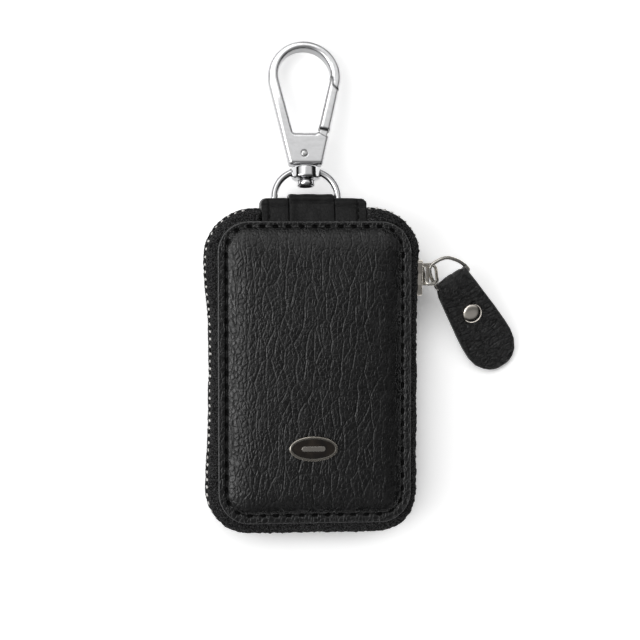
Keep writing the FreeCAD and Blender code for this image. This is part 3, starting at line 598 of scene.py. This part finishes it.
def padded_panel(name, body, sign, fine, coarse, shift, stands_for):
    """Leather over foam: a rolled border, a sewn groove and a crowned pad with creased skin."""
    half_x, half_y, radius = PANEL
    columns = graded(half_x, radius, fine[0], coarse[0])
    x, y = np.meshgrid(columns, graded(half_y, radius, fine[1], coarse[1]))
    x, y = onto(x, y, PANEL)
    edge = inset(x, y, PANEL)
    d = edge + TOP_SHIFT * step(y, *TOP_RUN) * step(edge, *BORDER_RUN)
    left = step(x, *STEEP_RUN) * step(np.abs(y), *STEEP_ENDS)
    z = profile(d, GENTLE) * (1 - left) + profile(d, STEEP) * left
    crown_x = 1 - np.minimum(np.abs(x) / CROWN_HALF[0], 1) ** CROWN_POWERS[0]
    crown_y = 1 - np.minimum(np.abs(y) / CROWN_HALF[1], 1) ** CROWN_POWERS[1]
    z = z + CROWN * crown_x * crown_y
    # Painted shade: the groove on the steep side, the stitch holes and the creases get a darker colour where
    # shade falls
    sunk_shade = GROOVE_SHADE * left * ridge(d, *GROOVE)
    for hx, hy, turn in holes:
        near = np.abs(x - hx) + np.abs(y - hy) < HOLE_REACH
        u = (x[near] - hx) * math.cos(turn) + (y[near] - hy) * math.sin(turn)
        v = (y[near] - hy) * math.cos(turn) - (x[near] - hx) * math.sin(turn)
        sunk = np.exp(-((u / HOLE_SIZE[0]) ** 4) - ((v / HOLE_SIZE[1]) ** 2))
        z[near] -= HOLE_DEPTH * sunk
        sunk_shade[near] = np.maximum(sunk_shade[near], sunk)
    on_pad = step(d, *PAD_RUN)
    fade = between(0.3, 1, step(x, *FADE_RIGHT)) * between(0.45, 1, step(np.abs(y), *FADE_ENDS))
    crackle = step(x, *CRACKLE_RUN)
    deep = creases(x, y, *DEEP, shift)
    small = creases(x, y, *SMALL, shift + 3)
    lines = np.maximum(between(*DEEP_SHARE, crackle) * deep, between(*SMALL_SHARE, crackle) * small)
    swell = PAD_SWELL * waves(x, y, SWELL_SIZE, shift)
    pebble = between(*PEBBLE_HEIGHT, crackle) * waves(x, y, PEBBLE_SIZE, shift + 1)
    z = z + (swell + pebble - between(*CREASE_DEPTH, crackle) * lines * fade) * on_pad
    sunk_shade = np.maximum(sunk_shade, (lines * on_pad) ** 1.1 * between(*CREASE_SHADE, crackle))
    # Painted highlight, partly edge paint: a lighter line along the rolled edge
    edge_paint_highlight = ridge(edge, *EDGE_PAINT_HIGHLIGHT_BAND) * between(0.5, 1, noise(x / 2.2, y / 2.2, shift + 4))
    on_border = step(d, 0.6, 1.1) * step(d, 2.8, 2.3)
    z = z + BORDER_PUCKER * waves(x, y, PUCKER_SIZE, shift + 2) * on_border
    z = LINING_TOP + np.clip(z, 0, PAD_LIMIT)
    faces = inner_faces(*x.shape, edge)
    points = np.stack([x, y, z], -1).reshape(-1, 3)
    loop = ring(PANEL, 0.4)
    low, count = len(points), len(loop)
    rim = np.stack([loop[:, 0], loop[:, 1], np.full(count, LINING_TOP)], -1)
    points = np.concatenate([points, rim])
    faces.append(tuple(range(low, low + count)))
    if sign < 0:
        points[:, 2] = 2 * MIDDLE - points[:, 2]
    obj = piece(name, points, faces, panel_leather, body, stands_for)
    grain = np.maximum(between(*GRAIN, crackle), BORDER_GRAIN * (1 - on_pad))
    for key, values, at_rim in (("grain", grain, 1), ("sunk_shade", sunk_shade, 0), ("edge_paint_highlight", edge_paint_highlight, 0)):
        attribute(obj, key, np.concatenate([values.reshape(-1), np.full(count, at_rim)]))


THREAD_RISE = 0.24
THREAD_SUNK = 0.2


def thread_run(name, body, ends, sign, radius):
    """Stitches as short threads that rise out of one hole and sink into the next."""
    points, faces = [], []
    sides, steps = 7, 9
    for start, end, normal in ends:
        start, end, normal = (np.array(p, float) for p in (start, end, normal))
        along = (end - start) / np.linalg.norm(end - start)
        across = np.cross(normal, along)
        faces += tube_faces(steps, sides, len(points))
        for t in np.linspace(0, 1, steps):
            bow = max(0.0, math.sin(math.pi * t))
            centre = between(start, end, t) + normal * (THREAD_RISE * bow**0.6 - THREAD_SUNK) * sign
            size = radius * between(0.55, 1, bow**0.4)
            points += [centre + size * (math.cos(a) * across + math.sin(a) * normal) for a in circle(sides)]
    return piece(name, points, faces, thread, body)


STITCH_HEIGHT = 0.75  # over the lining
LEFT_STITCH_HEIGHT = 0.35  # in the deep groove
LEFT_GROOVE = -25

for half, sign, shift, fine, coarse in (
    ("front", 1, 1, (0.14, 0.2), (0.15, 0.26)),
    ("back", -1, 4, (0.25, 0.35), (0.4, 0.7)),
):
    body = half + "_half"
    padded_panel(half + "_panel", body, sign, fine, coarse, shift, (half + "_leather", half + "_foam"))
    ends = []
    for hx, hy, turn in holes:
        along = np.array((math.cos(turn), math.sin(turn), 0)) * STITCH_LENGTH / 2
        height = LEFT_STITCH_HEIGHT if hx < LEFT_GROOVE else STITCH_HEIGHT
        at = np.array((hx, hy, MIDDLE + sign * (LINING_TOP + height - MIDDLE)))
        ends.append((at - along, at + along, (0, 0, 1)))
    thread_run(half + "_stitches", body, ends, sign, 0.22)


# Zip tapes
patch_low, patch_high = (np.array(c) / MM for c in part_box("hinge_patch"))
# How far the tapes swell out on each side, against Y
LEFT_BULGE = [
    (-49, 0.5), (-46, 1.4), (-43, 1.7), (-40, 1.5), (-36, 1.25), (-31, 1.15), (-27, 0.95), (-22, 0.6),
    (-15, 0.35), (-8, 0.25), (0, 0.1), (12, 0.1), (18, 0.4), (21, 0.65), (24, 1.1), (28, 1.45),
    (32, 1.55), (36, 1.4), (40, 1.1), (44, 0.8), (49, 0.45),
]
RIGHT_BULGE = [
    (-49, 0.5), (-46, 1.1), (-43, 1.1), (-40, 0.7), (-35, 0.4), (15, 0.4), (20, 0.55), (24, 0.75),
    (34, 0.8), (37, 1.15), (40, 1.1), (43, 0.9), (49, 0.8),
]
FRONT_LESS, BACK_MORE = -0.4, 0.15  # the back tape stands out behind the teeth
TAPE_SPACING = 0.4
TAPE_SEAM = 0.75  # how far in from the panel's edge a tape is sewn
PATCH_CLEAR = 0.3
TURN_HEIGHT = 5.0  # height over the middle at which a tape has turned down
TAPE_END = 0.95
TAPE_REACH = 3.2  # about how far a tape goes out from its seam
RIPPLE, RIPPLE_SIZE = 0.25, 3
KNIT, KNIT_SIZE = 0.5, 0.75
PARTED = 0.75  # how far apart the open zip stands, each way
PARTING = 8  # the length in Y over which it opens


def bulge(x, y):
    """How far a tape swells out past its even outline."""
    table = LEFT_BULGE if x < 0 else RIGHT_BULGE
    return float(np.interp(y, *zip(*table)))


def tape_section():
    """Points across a tape and the number of outer ones: share of the way out, offset out and height."""
    rounds = np.radians(np.linspace(0, 90, 14))
    upright = np.linspace(4.6, 1.2, 10)
    outer, inner = [], []
    for a in rounds:
        h = TURN_HEIGHT + (SEAM_HEIGHT - TURN_HEIGHT) * math.cos(a)
        outer.append((math.sin(a), 0.0, h))
        inner.append((math.sin(a), -TAPE_THICKNESS * math.sin(a), h - TAPE_THICKNESS * math.cos(a)))
    for h in upright:
        outer.append((1.0, 0.0, h))
        inner.append((1.0, -TAPE_THICKNESS, h))
    return outer + [(1.0, -0.1, TAPE_END), (1.0, -0.5, TAPE_END)] + inner[::-1], len(outer)


def zip_tape(half, sign):
    """A woven band that leaves the panel's seam outwards and turns down to the row of teeth."""
    seam = ring(shrunk(PANEL, TAPE_SEAM), TAPE_SPACING)
    upright = ring(TAPE, TAPE_SPACING)
    clear = np.minimum(np.abs(upright[:, 0]), np.abs(seam[:, 0])) > patch_high[0] + PATCH_CLEAR
    kept = (upright[:, 1] < 0) | clear
    seam, upright = seam[kept], upright[kept]
    for x, at in ((patch_high[0], 0), (patch_low[0], len(upright))):
        seam = np.insert(seam, at, (x, PANEL[1] - TAPE_SEAM, 0), axis=0)
        upright = np.insert(upright, at, (x, TAPE[1], 0), axis=0)
    section, outer_count = tape_section()
    side = 20 if sign > 0 else 0  # keeps the two tapes' noise apart
    points = []
    for i, (x, y, turn) in enumerate(upright):
        out = np.array((-math.sin(turn), math.cos(turn)))
        swollen = bulge(x, y) + (FRONT_LESS if sign > 0 else BACK_MORE)
        parted = PARTED * ease((y - OPEN_ZIP_START) / PARTING) if x > 0 else 0.0
        run = i * TAPE_SPACING
        for k, (share, offset, h) in enumerate(section):
            flat = between(seam[i, :2], upright[i, :2], share) + (offset + share * swollen) * out
            across = TAPE_REACH * share + (SEAM_HEIGHT - h)
            ripple = RIPPLE * share * (noise(run / RIPPLE_SIZE, h / RIPPLE_SIZE + side) - 0.5)
            knit = 0.0
            if k < outer_count:
                knit = KNIT * (noise(run / KNIT_SIZE, across / KNIT_SIZE + side, 2) - 0.5)
            flat = flat + out * (ripple + share * knit)
            lift = parted * share * ease((SEAM_HEIGHT - h) / 5) + (1 - share) * share * 3 * knit
            points.append((flat[0], flat[1], MIDDLE + sign * (h + lift)))
    faces = tube_faces(len(upright), len(section))
    piece(half + "_tape", points, faces, tape_cloth, half + "_half", (half + "_zip_tape",))


zip_tape("front", 1)
zip_tape("back", -1)


# Zip teeth: a rounded tooth at the place of each packed one
TOOTH = (0.8, 1.8, 2.7)  # along the row, outwards and in height
TOOTH_ROUND = 0.24
SLIDER_ROOM = -0.1  # the furthest in that a tooth may stand where the slider runs
LEFT_SUNK = 0.2  # how much further in the teeth stand on the left, where the tape hides more of them


def tooth_shape():
    """Points and faces of one tooth about its middle."""
    made = bmesh.new()
    bmesh.ops.create_cube(made, size=1.0)
    for vertex in made.verts:
        vertex.co = [c * size for c, size in zip(vertex.co, TOOTH)]
    bmesh.ops.bevel(made, geom=made.edges[:], offset=TOOTH_ROUND, segments=2, affect="EDGES", profile=0.5)
    made.verts.index_update()
    points = np.array([v.co for v in made.verts])
    faces = [[v.index for v in f.verts] for f in made.faces]
    made.free()
    return points, faces


def loose_parts(mesh):
    """The points of each separate solid in a mesh, in millimetres."""
    points = np.array([v.co for v in mesh.vertices]) / MM
    parent = list(range(len(points)))

    def root(k):
        while parent[k] != k:
            parent[k] = parent[parent[k]]
            k = parent[k]
        return k

    first_at = {}
    for k, p in enumerate(np.round(points, 3)):
        parent[root(k)] = root(first_at.setdefault(tuple(p), k))
    for edge in mesh.edges:
        parent[root(edge.vertices[0])] = root(edge.vertices[1])
    groups = {}
    for k in range(len(points)):
        groups.setdefault(root(k), []).append(k)
    return [points[members] for members in groups.values()]


def zip_teeth(half, setback):
    """A row of teeth that follows its swollen tape, set back from it."""
    shape, shape_faces = tooth_shape()
    points, faces = [], []
    for solid in loose_parts(nodes[half + "_zip_teeth"].data):
        cx, cy, cz = (solid.min(0) + solid.max(0)) / 2
        px, py = (np.clip(c, ROW[2] - h, h - ROW[2]) for c, h in ((cx, ROW[0]), (cy, ROW[1])))
        out = np.array((cx - px, cy - py)) / np.hypot(cx - px, cy - py)
        push = bulge(cx, cy) - setback
        push = max(push, SLIDER_ROOM) if cx > 0 else push - LEFT_SUNK
        faces += [tuple(len(points) + k for k in f) for f in shape_faces]
        for u, v, w in shape:
            away = v + push
            points.append((cx + u * out[1] + away * out[0], cy - u * out[0] + away * out[1], cz + w))
    piece(half + "_teeth", points, faces, tooth_metal, half + "_half", (half + "_zip_teeth",))


zip_teeth("front", 0.3)
zip_teeth("back", 1.0)

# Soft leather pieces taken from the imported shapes: rolled folds, sewn lines and a slightly uneven skin
PATCH_STITCH = 2.0  # pitch of the patch's sewn lines
PATCH_STITCH_START = 44.35
PATCH_STITCH_DEPTH = 0.2
PATCH_FOLD = 3.0
PATCH_SEAMS = (-13.7, 13.2)
SEAM_WIDTH, SEAM_DEPTH, SEAM_SHADE = 0.26, 0.3, 0.9
SEAM_SWAY, SWAY_RATE = 0.12, 3.1
SKIN_SIZE = (2.3, 2.3)
LOW_GRAIN, LOW_GRAIN_SIZE = 0.16, (0.8, 0.7)  # a coarser skin along the patch's lower edge
LOW_GRAIN_RUN = (47.5, 44.5)  # the Y over which it sets in
FACING_UP = (0.3, 0.7)  # slopes of the skin over which it counts as the top


def rolled(a, b, a_end, b_end, radius):
    """Two coordinates with the corner at their given ends turned to an arc."""
    a_sign, b_sign = (1 if e > 0 else -1 for e in (a_end, b_end))
    qa = np.maximum(a_sign * a - (abs(a_end) - radius), 0)
    qb = np.maximum(b_sign * b - (abs(b_end) - radius), 0)
    both = (qa > 0) & (qb > 0)
    share = np.where(both, np.maximum(qa, qb) / np.maximum(np.hypot(qa, qb), TINY), 1)
    return a + a_sign * qa * (share - 1), b + b_sign * qb * (share - 1)


def remeshed(source, voxel, rounds):
    """Points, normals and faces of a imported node, remeshed evenly and smoothed."""
    copy = placed("remeshed", nodes[source].data.copy())
    copy.matrix_world = nodes[source].matrix_world
    grid = copy.modifiers.new("grid", "REMESH")
    grid.mode = "VOXEL"
    grid.voxel_size = voxel * MM
    soft = copy.modifiers.new("soft", "SMOOTH")
    soft.iterations = rounds
    bpy.context.view_layer.update()
    shape = bpy.data.meshes.new_from_object(copy.evaluated_get(bpy.context.evaluated_depsgraph_get()))
    count = 3 * len(shape.vertices)
    points, normals = np.empty(count), np.empty(count)
    shape.vertices.foreach_get("co", points)
    shape.vertices.foreach_get("normal", normals)
    faces = [tuple(p.vertices) for p in shape.polygons]
    bpy.data.objects.remove(copy)
    bpy.data.meshes.remove(shape)
    return points.reshape(-1, 3) / MM, normals.reshape(-1, 3), faces


def soft_piece(name, source, body, voxel, uneven, shift, fold, corner, seams=()):
    """A packed leather piece with its far edges rolled, lines sewn into its top and an uneven skin."""
    points, normals, faces = remeshed(source, voxel, 8)
    low, high = (np.array(c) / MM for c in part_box(source))
    x, y, z = points.T
    sunk_shade = np.zeros(len(points))
    facing = step(normals[:, 2], *FACING_UP)
    # Painted shade in the sewn lines, stored for the material
    for line in seams:
        sewn = ridge(x - SEAM_SWAY * np.sin(SWAY_RATE * y), line, SEAM_WIDTH) * facing
        tight = between(0.55, 1, np.cos(2 * math.pi * y / PATCH_STITCH) ** 2)
        z = z - SEAM_DEPTH * sewn * tight
        sunk_shade = np.maximum(sunk_shade, SEAM_SHADE * sewn * tight)
    y, z = rolled(y, z - MIDDLE, high[1], high[2] - MIDDLE, fold)
    y, z = rolled(y, z, high[1], low[2] - MIDDLE, fold)
    for end in (low[0], high[0]):
        x, y = rolled(x, y, end, high[1], corner)
    z = z + MIDDLE
    coarse = LOW_GRAIN * waves(x, y + z, LOW_GRAIN_SIZE, shift + 1) * (step(y, *LOW_GRAIN_RUN) * facing)
    skin = uneven * waves(x, y + z, SKIN_SIZE, shift) + coarse
    points = np.stack([x, y, z], -1) + normals * skin[:, None]
    obj = piece(name, points, faces, trim_leather, body, (source,))
    attribute(obj, "sunk_shade", sunk_shade)
    return obj


def over_fold(x, y):
    """A stitch's place under the patch's skin, with the skin's slope, where it rolls down at its fold."""
    past = max(0.0, y - (patch_high[1] - PATCH_FOLD)) / PATCH_FOLD
    up = math.sqrt(1 - past * past)
    height = patch_high[2] - PATCH_FOLD * (1 - up) - PATCH_STITCH_DEPTH * up
    return (x, y - PATCH_STITCH_DEPTH * past, height), (0, past, up)


patch = soft_piece("patch", "hinge_patch", None, 0.22, 0.22, 5, PATCH_FOLD, 1.8, PATCH_SEAMS)
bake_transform(patch)
soft_piece("keeper", "keeper_band", "back_half", 0.2, 0.3, 6, 3.2, 0.8)
ends = []
for x in PATCH_SEAMS:
    for k in range(4):
        y = PATCH_STITCH_START + PATCH_STITCH * k
        start, _ = over_fold(x, y)
        end, _ = over_fold(x, y + 0.7 * PATCH_STITCH)
        _, normal = over_fold(x, y + 0.35 * PATCH_STITCH)
        ends.append((start, end, normal))
patch_stitches = thread_run("patch_stitches", None, ends, 1, 0.17)
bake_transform(patch_stitches)

# Folded strips, and the pull tab
STRIP = ((1.7, 2.6), 0.24, 0.65)  # creases: cell, width and bias
STRIP_WEIGHT = 1.2
STRIP_OFFSET = 60  # moves the strips to another part of the creases


def folded_strip(name, body, axes, path, outline, thickness, edge, uneven, shift, material, stands_for):
    """A strip that follows a path in its own plane, with half-round edges and a given outline."""
    origin, ahead, side, up = (np.array(a, float) for a in axes)
    path = np.array(path, float)
    tangent = np.gradient(path, axis=0)
    tangent /= np.linalg.norm(tangent, axis=1)[:, None]
    normal = np.stack([-tangent[:, 1], tangent[:, 0]], -1)
    low, high = outline(path[:, 0])
    across = np.sin(np.linspace(-QUARTER, QUARTER, 101))
    points = []
    for i, (a, u) in enumerate(path):
        b = low[i] + (high[i] - low[i]) * (across + 1) / 2
        reach = np.minimum(b - low[i], high[i] - b)
        reach = np.minimum(reach, 0.9 * max(0.0, path[:, 0].max() - a))
        half = thickness / 2 * np.sqrt(np.clip(1 - (1 - np.clip(reach / edge, 0, 1)) ** 2, 0, 1))
        along = np.full(len(b), a)
        wave = waves(along, b, (2.6, 2.6), shift) + 0.5 * waves(along, b, (1.1, 1.1), shift + 1)
        creased = creases(along + STRIP_OFFSET, b, *STRIP, shift)
        wave = (wave - STRIP_WEIGHT * creased) * ease(reach / 1.2)
        outer = half * (1 + 2 * uneven / thickness * wave)
        around = list(zip(b, outer)) + list(zip(b, -half))[-2:0:-1]
        for aside, offset in around:
            at = (a + normal[i, 0] * offset, u + normal[i, 1] * offset)
            points.append(origin + ahead * at[0] + side * aside + up * at[1])
    faces = tube_faces(len(path), 2 * len(across) - 2)
    piece(name, points, faces, material, body, stands_for)


TAB_END = 33.7
# The tab's two sides: distance ahead of its fold and to its side
TAB_LEFT = [
    (-3, -5.3), (0, -5.6), (2.3, -6.45), (6.4, -6.85), (11.6, -7.2), (17, -7.6), (22, -7.8), (26, -7.6),
    (28.8, -6.8), (31.1, -5.2), (32.4, -3.8), (33.2, -2.3), (33.6, -0.9), (TAB_END, 0.4),
]
TAB_RIGHT = [
    (-3, 5.3), (0, 5.4), (1.3, 5.6), (3.8, 6.1), (8.9, 6.8), (14.1, 7.55), (20.7, 8.3), (24.2, 8.5),
    (27.6, 8.1), (30.8, 6.7), (32.4, 5.1), (33.2, 3.6), (33.6, 1.9), (TAB_END, 0.6),
]
TAB_LAYER = 1.25
TAB_FOLD = 1.37
STRAP_LAYER = 1.15
STRAP_HALF = 4.0
STRAP_FOLD, STRAP_CENTRE = 3.0, (27, 8.3)  # radius and middle of its fold, in Y and height
STRAP_SEWN = 42.4  # the Y at which its two layers end
LOWER_HEIGHT, UPPER_HEIGHT, UPPER_RISE = 5.3, 6.55, 4.7


def tab_outline(a):
    return np.interp(a, *zip(*TAB_LEFT)), np.interp(a, *zip(*TAB_RIGHT))


def strap_outline(a):
    return np.full(len(a), -STRAP_HALF), np.full(len(a), STRAP_HALF)


def fold_path(centre, radius, first, last):
    """Points round a fold, between two angles."""
    turns = np.radians(np.linspace(first, last, 24))
    return [(centre[0] + radius * math.cos(t), centre[1] + radius * math.sin(t)) for t in turns]


tab_run = TAB_END - (TAB_END - 3) * (1 - np.cos(np.linspace(0, QUARTER, 180)))
lower = [(a, -TAB_LAYER / 2 - 0.02 - 0.75 * step(a, 6, 0)) for a in tab_run]
upper = [(a, -u) for a, u in lower[::-1]]
tab_path = lower + fold_path((0, 0), TAB_FOLD, -100, -260) + upper
folded_strip(
    "tab", "tab", TAB_AXES, tab_path, tab_outline, TAB_LAYER, 0.6, 0.42, 7, tab_leather, ("pull_tab",)
)


# Turned pieces and bent wire
def turned(name, centre, axis, across, section, material, body, stands_for):
    """A turned piece: (radius, height) points about an axis, closed at both ends."""
    centre, axis, across = (np.array(a, float) for a in (centre, axis, across))
    other = np.cross(axis, across)
    around = circle(48)
    points = []
    for radius, h in section:
        points += [centre + axis * h + radius * (across * math.cos(a) + other * math.sin(a)) for a in around]
    piece(name, points, tube_faces(len(section), len(around)), material, body, stands_for)


def closed_wire(name, centre, axes, corners, rounds, radius, material, body, stands_for):
    """A round wire bent along a closed path of rounded corners in the plane of the first two axes."""
    centre, right, above, out = (np.array(a, float) for a in (centre, *axes))
    path = []
    count = len(corners)
    for i in range(count):
        before, at, after = (np.array(corners[(i + k) % count], float) for k in (-1, 0, 1))
        reach = min(rounds[i], 0.5 * np.linalg.norm(before - at), 0.5 * np.linalg.norm(after - at))
        first = at + (before - at) / np.linalg.norm(before - at) * reach
        last = at + (after - at) / np.linalg.norm(after - at) * reach
        for t in np.linspace(0, 1, 13)[:-1]:
            path.append((1 - t) ** 2 * first + 2 * t * (1 - t) * at + t * t * last)
        path += [last, (last + after) / 2] if rounds[i] < SHARP_BEND else [last]
    path = np.array(path)
    along = np.roll(path, -1, 0) - np.roll(path, 1, 0)
    along /= np.linalg.norm(along, axis=1)[:, None]
    around = circle(16)
    points = []
    for (a, b), (ta, tb) in zip(path, along):
        middle = centre + right * a + above * b
        aside = right * tb - above * ta
        points += [middle + radius * (math.cos(turn) * aside + math.sin(turn) * out) for turn in around]
    faces = strip_faces(len(path), len(around), close_rows=True, close_columns=True)
    piece(name, points, faces, material, body, stands_for)


# Radius and height over the leather, from the dome down to the rim
RIVET = [
    (0.2, 1.5), (0.9, 1.495), (1.4, 1.47), (1.9, 1.4), (2.3, 1.3), (2.6, 1.19), (2.8, 1.09), (2.95, 0.98),
    (3.05, 0.87), (3.1, 0.7), (3.1, 0.1), (3.0, -0.25),
]
RIVET_AHEAD, RIVET_HEIGHT = 12.2, 1.3
# Corners of the D-ring, to the tab's side and away from the tab, with their bends
D_RING = [(6.0, 0.0), (4.9, 3.9), (1.9, 7.6), (-1.0, 8.3), (-4.6, 8.1), (-5.6, 5.0), (-5.6, 0.0)]
D_ROUNDS = [0.9] + [3.0] * 5 + [0.9]
D_WIRE = 0.6
SHARP_BEND = 1.5  # a bend below this gets a further point on the straight after it
# Radius and height along the hook, from the cupped end up into the hook
STEM = [
    (0.2, 6.1), (1.6, 6.05), (1.9, 5.8), (2.1, 5.4), (2.3, 5.22), (2.5, 5.25), (2.72, 5.5), (2.8, 5.9),
    (2.8, 6.7), (2.6, 7.05), (2.2, 7.25), (1.72, 7.3), (1.7, 7.5), (1.7, 15.9), (1.5, 16.1),
]
# A dark disc set in the stem's cupped end
STEM_END_DISC = [(0.2, 5.72), (1.2, 5.72), (1.75, 5.8), (1.95, 6.0), (1.6, 6.1)]
PIN_HEAD = [(1.0, 2.6), (1.0, 2.72), (0.9, 2.8), (0.6, 2.86), (0.15, 2.88)]
PIN = [(r, -h) for r, h in PIN_HEAD[::-1]] + PIN_HEAD
PIN_ALONG, PIN_ASIDE = 15.0, -0.5

origin, ahead, side, up = (np.array(a) for a in TAB_AXES)
rivet_place = origin + ahead * RIVET_AHEAD + up * RIVET_HEIGHT
turned("rivet", rivet_place, up, ahead, RIVET, rivet_metal, "tab", ("pull_rivet_cap",))
closed_wire(
    "ring_wire", origin, (side, -ahead, up), D_RING, D_ROUNDS, D_WIRE, nickel, "d_ring", ("pull_d_ring",),
)
turned("stem", HOOK_ORIGIN, HOOK_ALONG, ACROSS, STEM, dark_chrome, "hook", ("swivel_stem",))
turned("stem_end_disc", HOOK_ORIGIN, HOOK_ALONG, ACROSS, STEM_END_DISC, enamel, "hook", ())
pin_centre = HOOK_ORIGIN + HOOK_ALONG * PIN_ALONG + np.array((PIN_ASIDE, 0, 0))
turned("cross_pin", pin_centre, HOOK_UP, ACROSS, PIN, steel, "hook", ("stem_cross_pin",))

# The key strap inside the case
lower = [(y, LOWER_HEIGHT) for y in np.linspace(STRAP_SEWN, 27.5, 20)]
upper = [(y, UPPER_HEIGHT + UPPER_RISE * step(y, 34, 27.8)) for y in np.linspace(27.8, STRAP_SEWN, 26)]
strap_path = lower + fold_path(STRAP_CENTRE, STRAP_FOLD, -95, -275) + upper
strap_axes = ((0, 0, 0), (0, 1, 0), ACROSS, (0, 0, 1))
folded_strip(
    "strap", "back_half", strap_axes, strap_path, strap_outline, STRAP_LAYER, 0.5, 0.08, 9, trim_leather,
    ("key_strap",),
)

# Linings: woven sheets stretched inside both halves
LINING_DOWN = 0.45  # depth of the sheet under the panel's lower face
LINING_LIFT = 0.3  # rise of its edge


def lining(half, sign):
    half_x, half_y, _ = LINING
    x, y = np.meshgrid(np.linspace(-half_x, half_x, 97), np.linspace(-half_y, half_y, 151))
    x, y = onto(x, y, LINING)
    d = inset(x, y, LINING)
    z = LINING_TOP - LINING_DOWN + LINING_LIFT * step(d, 0.8, 0)
    z = z + 0.12 * waves(x, y, (6, 6), 8) * ease(d / 4)
    points = np.stack([x, y, MIDDLE + sign * (z - MIDDLE)], -1).reshape(-1, 3)
    faces = inner_faces(*x.shape, d)
    cloth, body = half + "_lining_cloth", half + "_half"
    obj = piece(cloth, points, faces, lining_cloth, body, (half + "_lining",))


lining("front", 1)
lining("back", -1)

# Camera
TARGET = Vector((0.002335, 0.01549, 0.0125))
LEAN_X, LEAN_Y = math.radians(-5.5), math.radians(3.1)
DISTANCE = 0.5
SENSOR = 36.0
VIEW_WIDTH = 0.19565  # what the frame takes in at the target
away = Vector((math.tan(LEAN_X), math.tan(LEAN_Y), 1)).normalized()
right = Vector((0, 1, 0)).cross(away).normalized()
camera = placed("camera", bpy.data.cameras.new("camera"))
facing = Matrix((right, away.cross(right), away)).transposed().to_4x4()
camera.matrix_world = Matrix.Translation(TARGET + away * DISTANCE) @ facing
camera.data.sensor_width = SENSOR
camera.data.lens = SENSOR * DISTANCE / VIEW_WIDTH
scene.camera = camera

# Floor: a round sheet that sweeps up far from the object, in metres, shown white but for a painted contact
# shadow near the object
SWEEP = [(0.5, 0.0), (2.5, 0.0), (3.0, 0.01), (3.4, 0.05), (3.7, 0.11), (3.9, 0.2), (4.0, 0.32)]
SWEEP_SIDES = 64
FLOOR_GLOW = 0.57
SHADE_REACH = 0.016
PAST_CASE = (0.045, 0.06)  # the Y past which the painted contact shadow ends
floor_mesh = bpy.data.meshes.new("floor")
rings = [(r * math.cos(a), r * math.sin(a), h) for r, h in SWEEP for a in circle(SWEEP_SIDES)]
sweep_faces = [f[::-1] for f in strip_faces(len(SWEEP), SWEEP_SIDES, close_columns=True)]
floor_mesh.from_pydata(rings, [], sweep_faces + [tuple(range(SWEEP_SIDES))])
floor_mesh.shade_smooth()
floor = placed("floor", floor_mesh)
floor_paper, tree, place = shader(
    "floor_paper", grey(0.95), 0.9, Specular_IOR_Level=0.0, Emission_Color=(1, 1, 1, 1)
)
seen = node(tree, "LightPath").outputs
shown = math_node(tree, "MAXIMUM", seen["Is Camera Ray"], seen["Is Glossy Ray"])
shown = math_node(tree, "MAXIMUM", shown, seen["Is Transmission Ray"])
to_light = node(tree, "CombineXYZ", X=-0.25, Y=0.6, Z=0.76).outputs[0]
# Painted shadow: ambient occlusion, tilted toward the lamp, dims the floor's white glow next to the case
painted_shadow_ao = node(tree, "AmbientOcclusion", [("Normal", to_light)], samples=12, Distance=SHADE_REACH)
clear_of_painted_shadow = remap(tree, painted_shadow_ao.outputs["AO"], (0.3, 0.78), (0.0, 1.0))
along_floor = node(tree, "SeparateXYZ", [("Vector", place)]).outputs["Y"]
clear_of_painted_shadow = math_node(tree, "MAXIMUM", clear_of_painted_shadow, remap(tree, along_floor, PAST_CASE, (0.0, 1.0)))
white = math_node(tree, "MULTIPLY", math_node(tree, "MULTIPLY", shown, clear_of_painted_shadow), FLOOR_GLOW)
wire(tree, Emission_Strength=white)
floor_mesh.materials.append(floor_paper)

# Light: one soft lamp, and a room that is brighter at its left and far sides
LAMP_PLACE = Vector((-0.25, 0.66, 0.7))
LAMP_AIM = Vector((0, 0.01, 0))
LAMP_SIZE = 0.6
LAMP_POWER = 1.1
lamp = bpy.data.lights.new("key", "AREA")
lamp.shape = "RECTANGLE"
lamp.size = LAMP_SIZE
lamp.size_y = LAMP_SIZE
lamp.energy = LAMP_POWER
key = placed("key", lamp)
key.location = LAMP_PLACE
key.rotation_euler = (LAMP_AIM - LAMP_PLACE).to_track_quat("-Z", "Y").to_euler()

world = bpy.data.worlds.new("studio")
scene.world = world
world.use_nodes = True
tree = world.node_tree
ground = tree.nodes["Background"]
direction = node(tree, "TexCoord").outputs["Generated"]
toward = node(tree, "SeparateXYZ", [("Vector", direction)]).outputs
# Glow from the left of the room to its right, and brightness from its near side to its far one
SIDES = (
    (0.0, 1.2), (0.1, 4.2), (0.23, 3.8), (0.31, 1.4), (0.4, 0.3), (0.465, 0.1), (0.52, 0.0), (1.0, 0.0),
)
TOPS = (
    (0.0, 0.28), (0.25, 0.28), (0.375, 0.14), (0.475, 0.13), (0.6, 0.38), (0.69, 0.68), (0.73, 0.78),
    (0.8, 0.85), (1.0, 0.85),
)
LOWEST_LIGHT = 0.03


def spread(axis, stops):
    """Brightness along an axis of the room, as shares of its largest value, and that value."""
    peak = max(value for _, value in stops)
    half = math_node(tree, "MULTIPLY_ADD", toward[axis], 0.5, 0.5)
    return ramp(tree, half, *((at, grey(value / peak)) for at, value in stops)), peak


sideways, side_peak = spread("X", SIDES)
upward, top_peak = spread("Y", TOPS)
level = math_node(tree, "ABSOLUTE", toward["Y"])
window = remap(tree, level, (0.14, 0.34), (side_peak, 0.15 * side_peak))
raised = remap(tree, toward["Z"], (0.36, 0.5), (0.0, 1.0))
glow = math_node(tree, "MULTIPLY", math_node(tree, "MULTIPLY", sideways, window), raised)
high = remap(tree, toward["Z"], (0.55, 0.71), (LOWEST_LIGHT, top_peak))
total = math_node(tree, "ADD", glow, math_node(tree, "MULTIPLY", upward, high))
ground.inputs["Color"].default_value = (1, 1, 1, 1)
tree.links.new(total, ground.inputs["Strength"])
scene.view_settings.view_transform = "Standard"
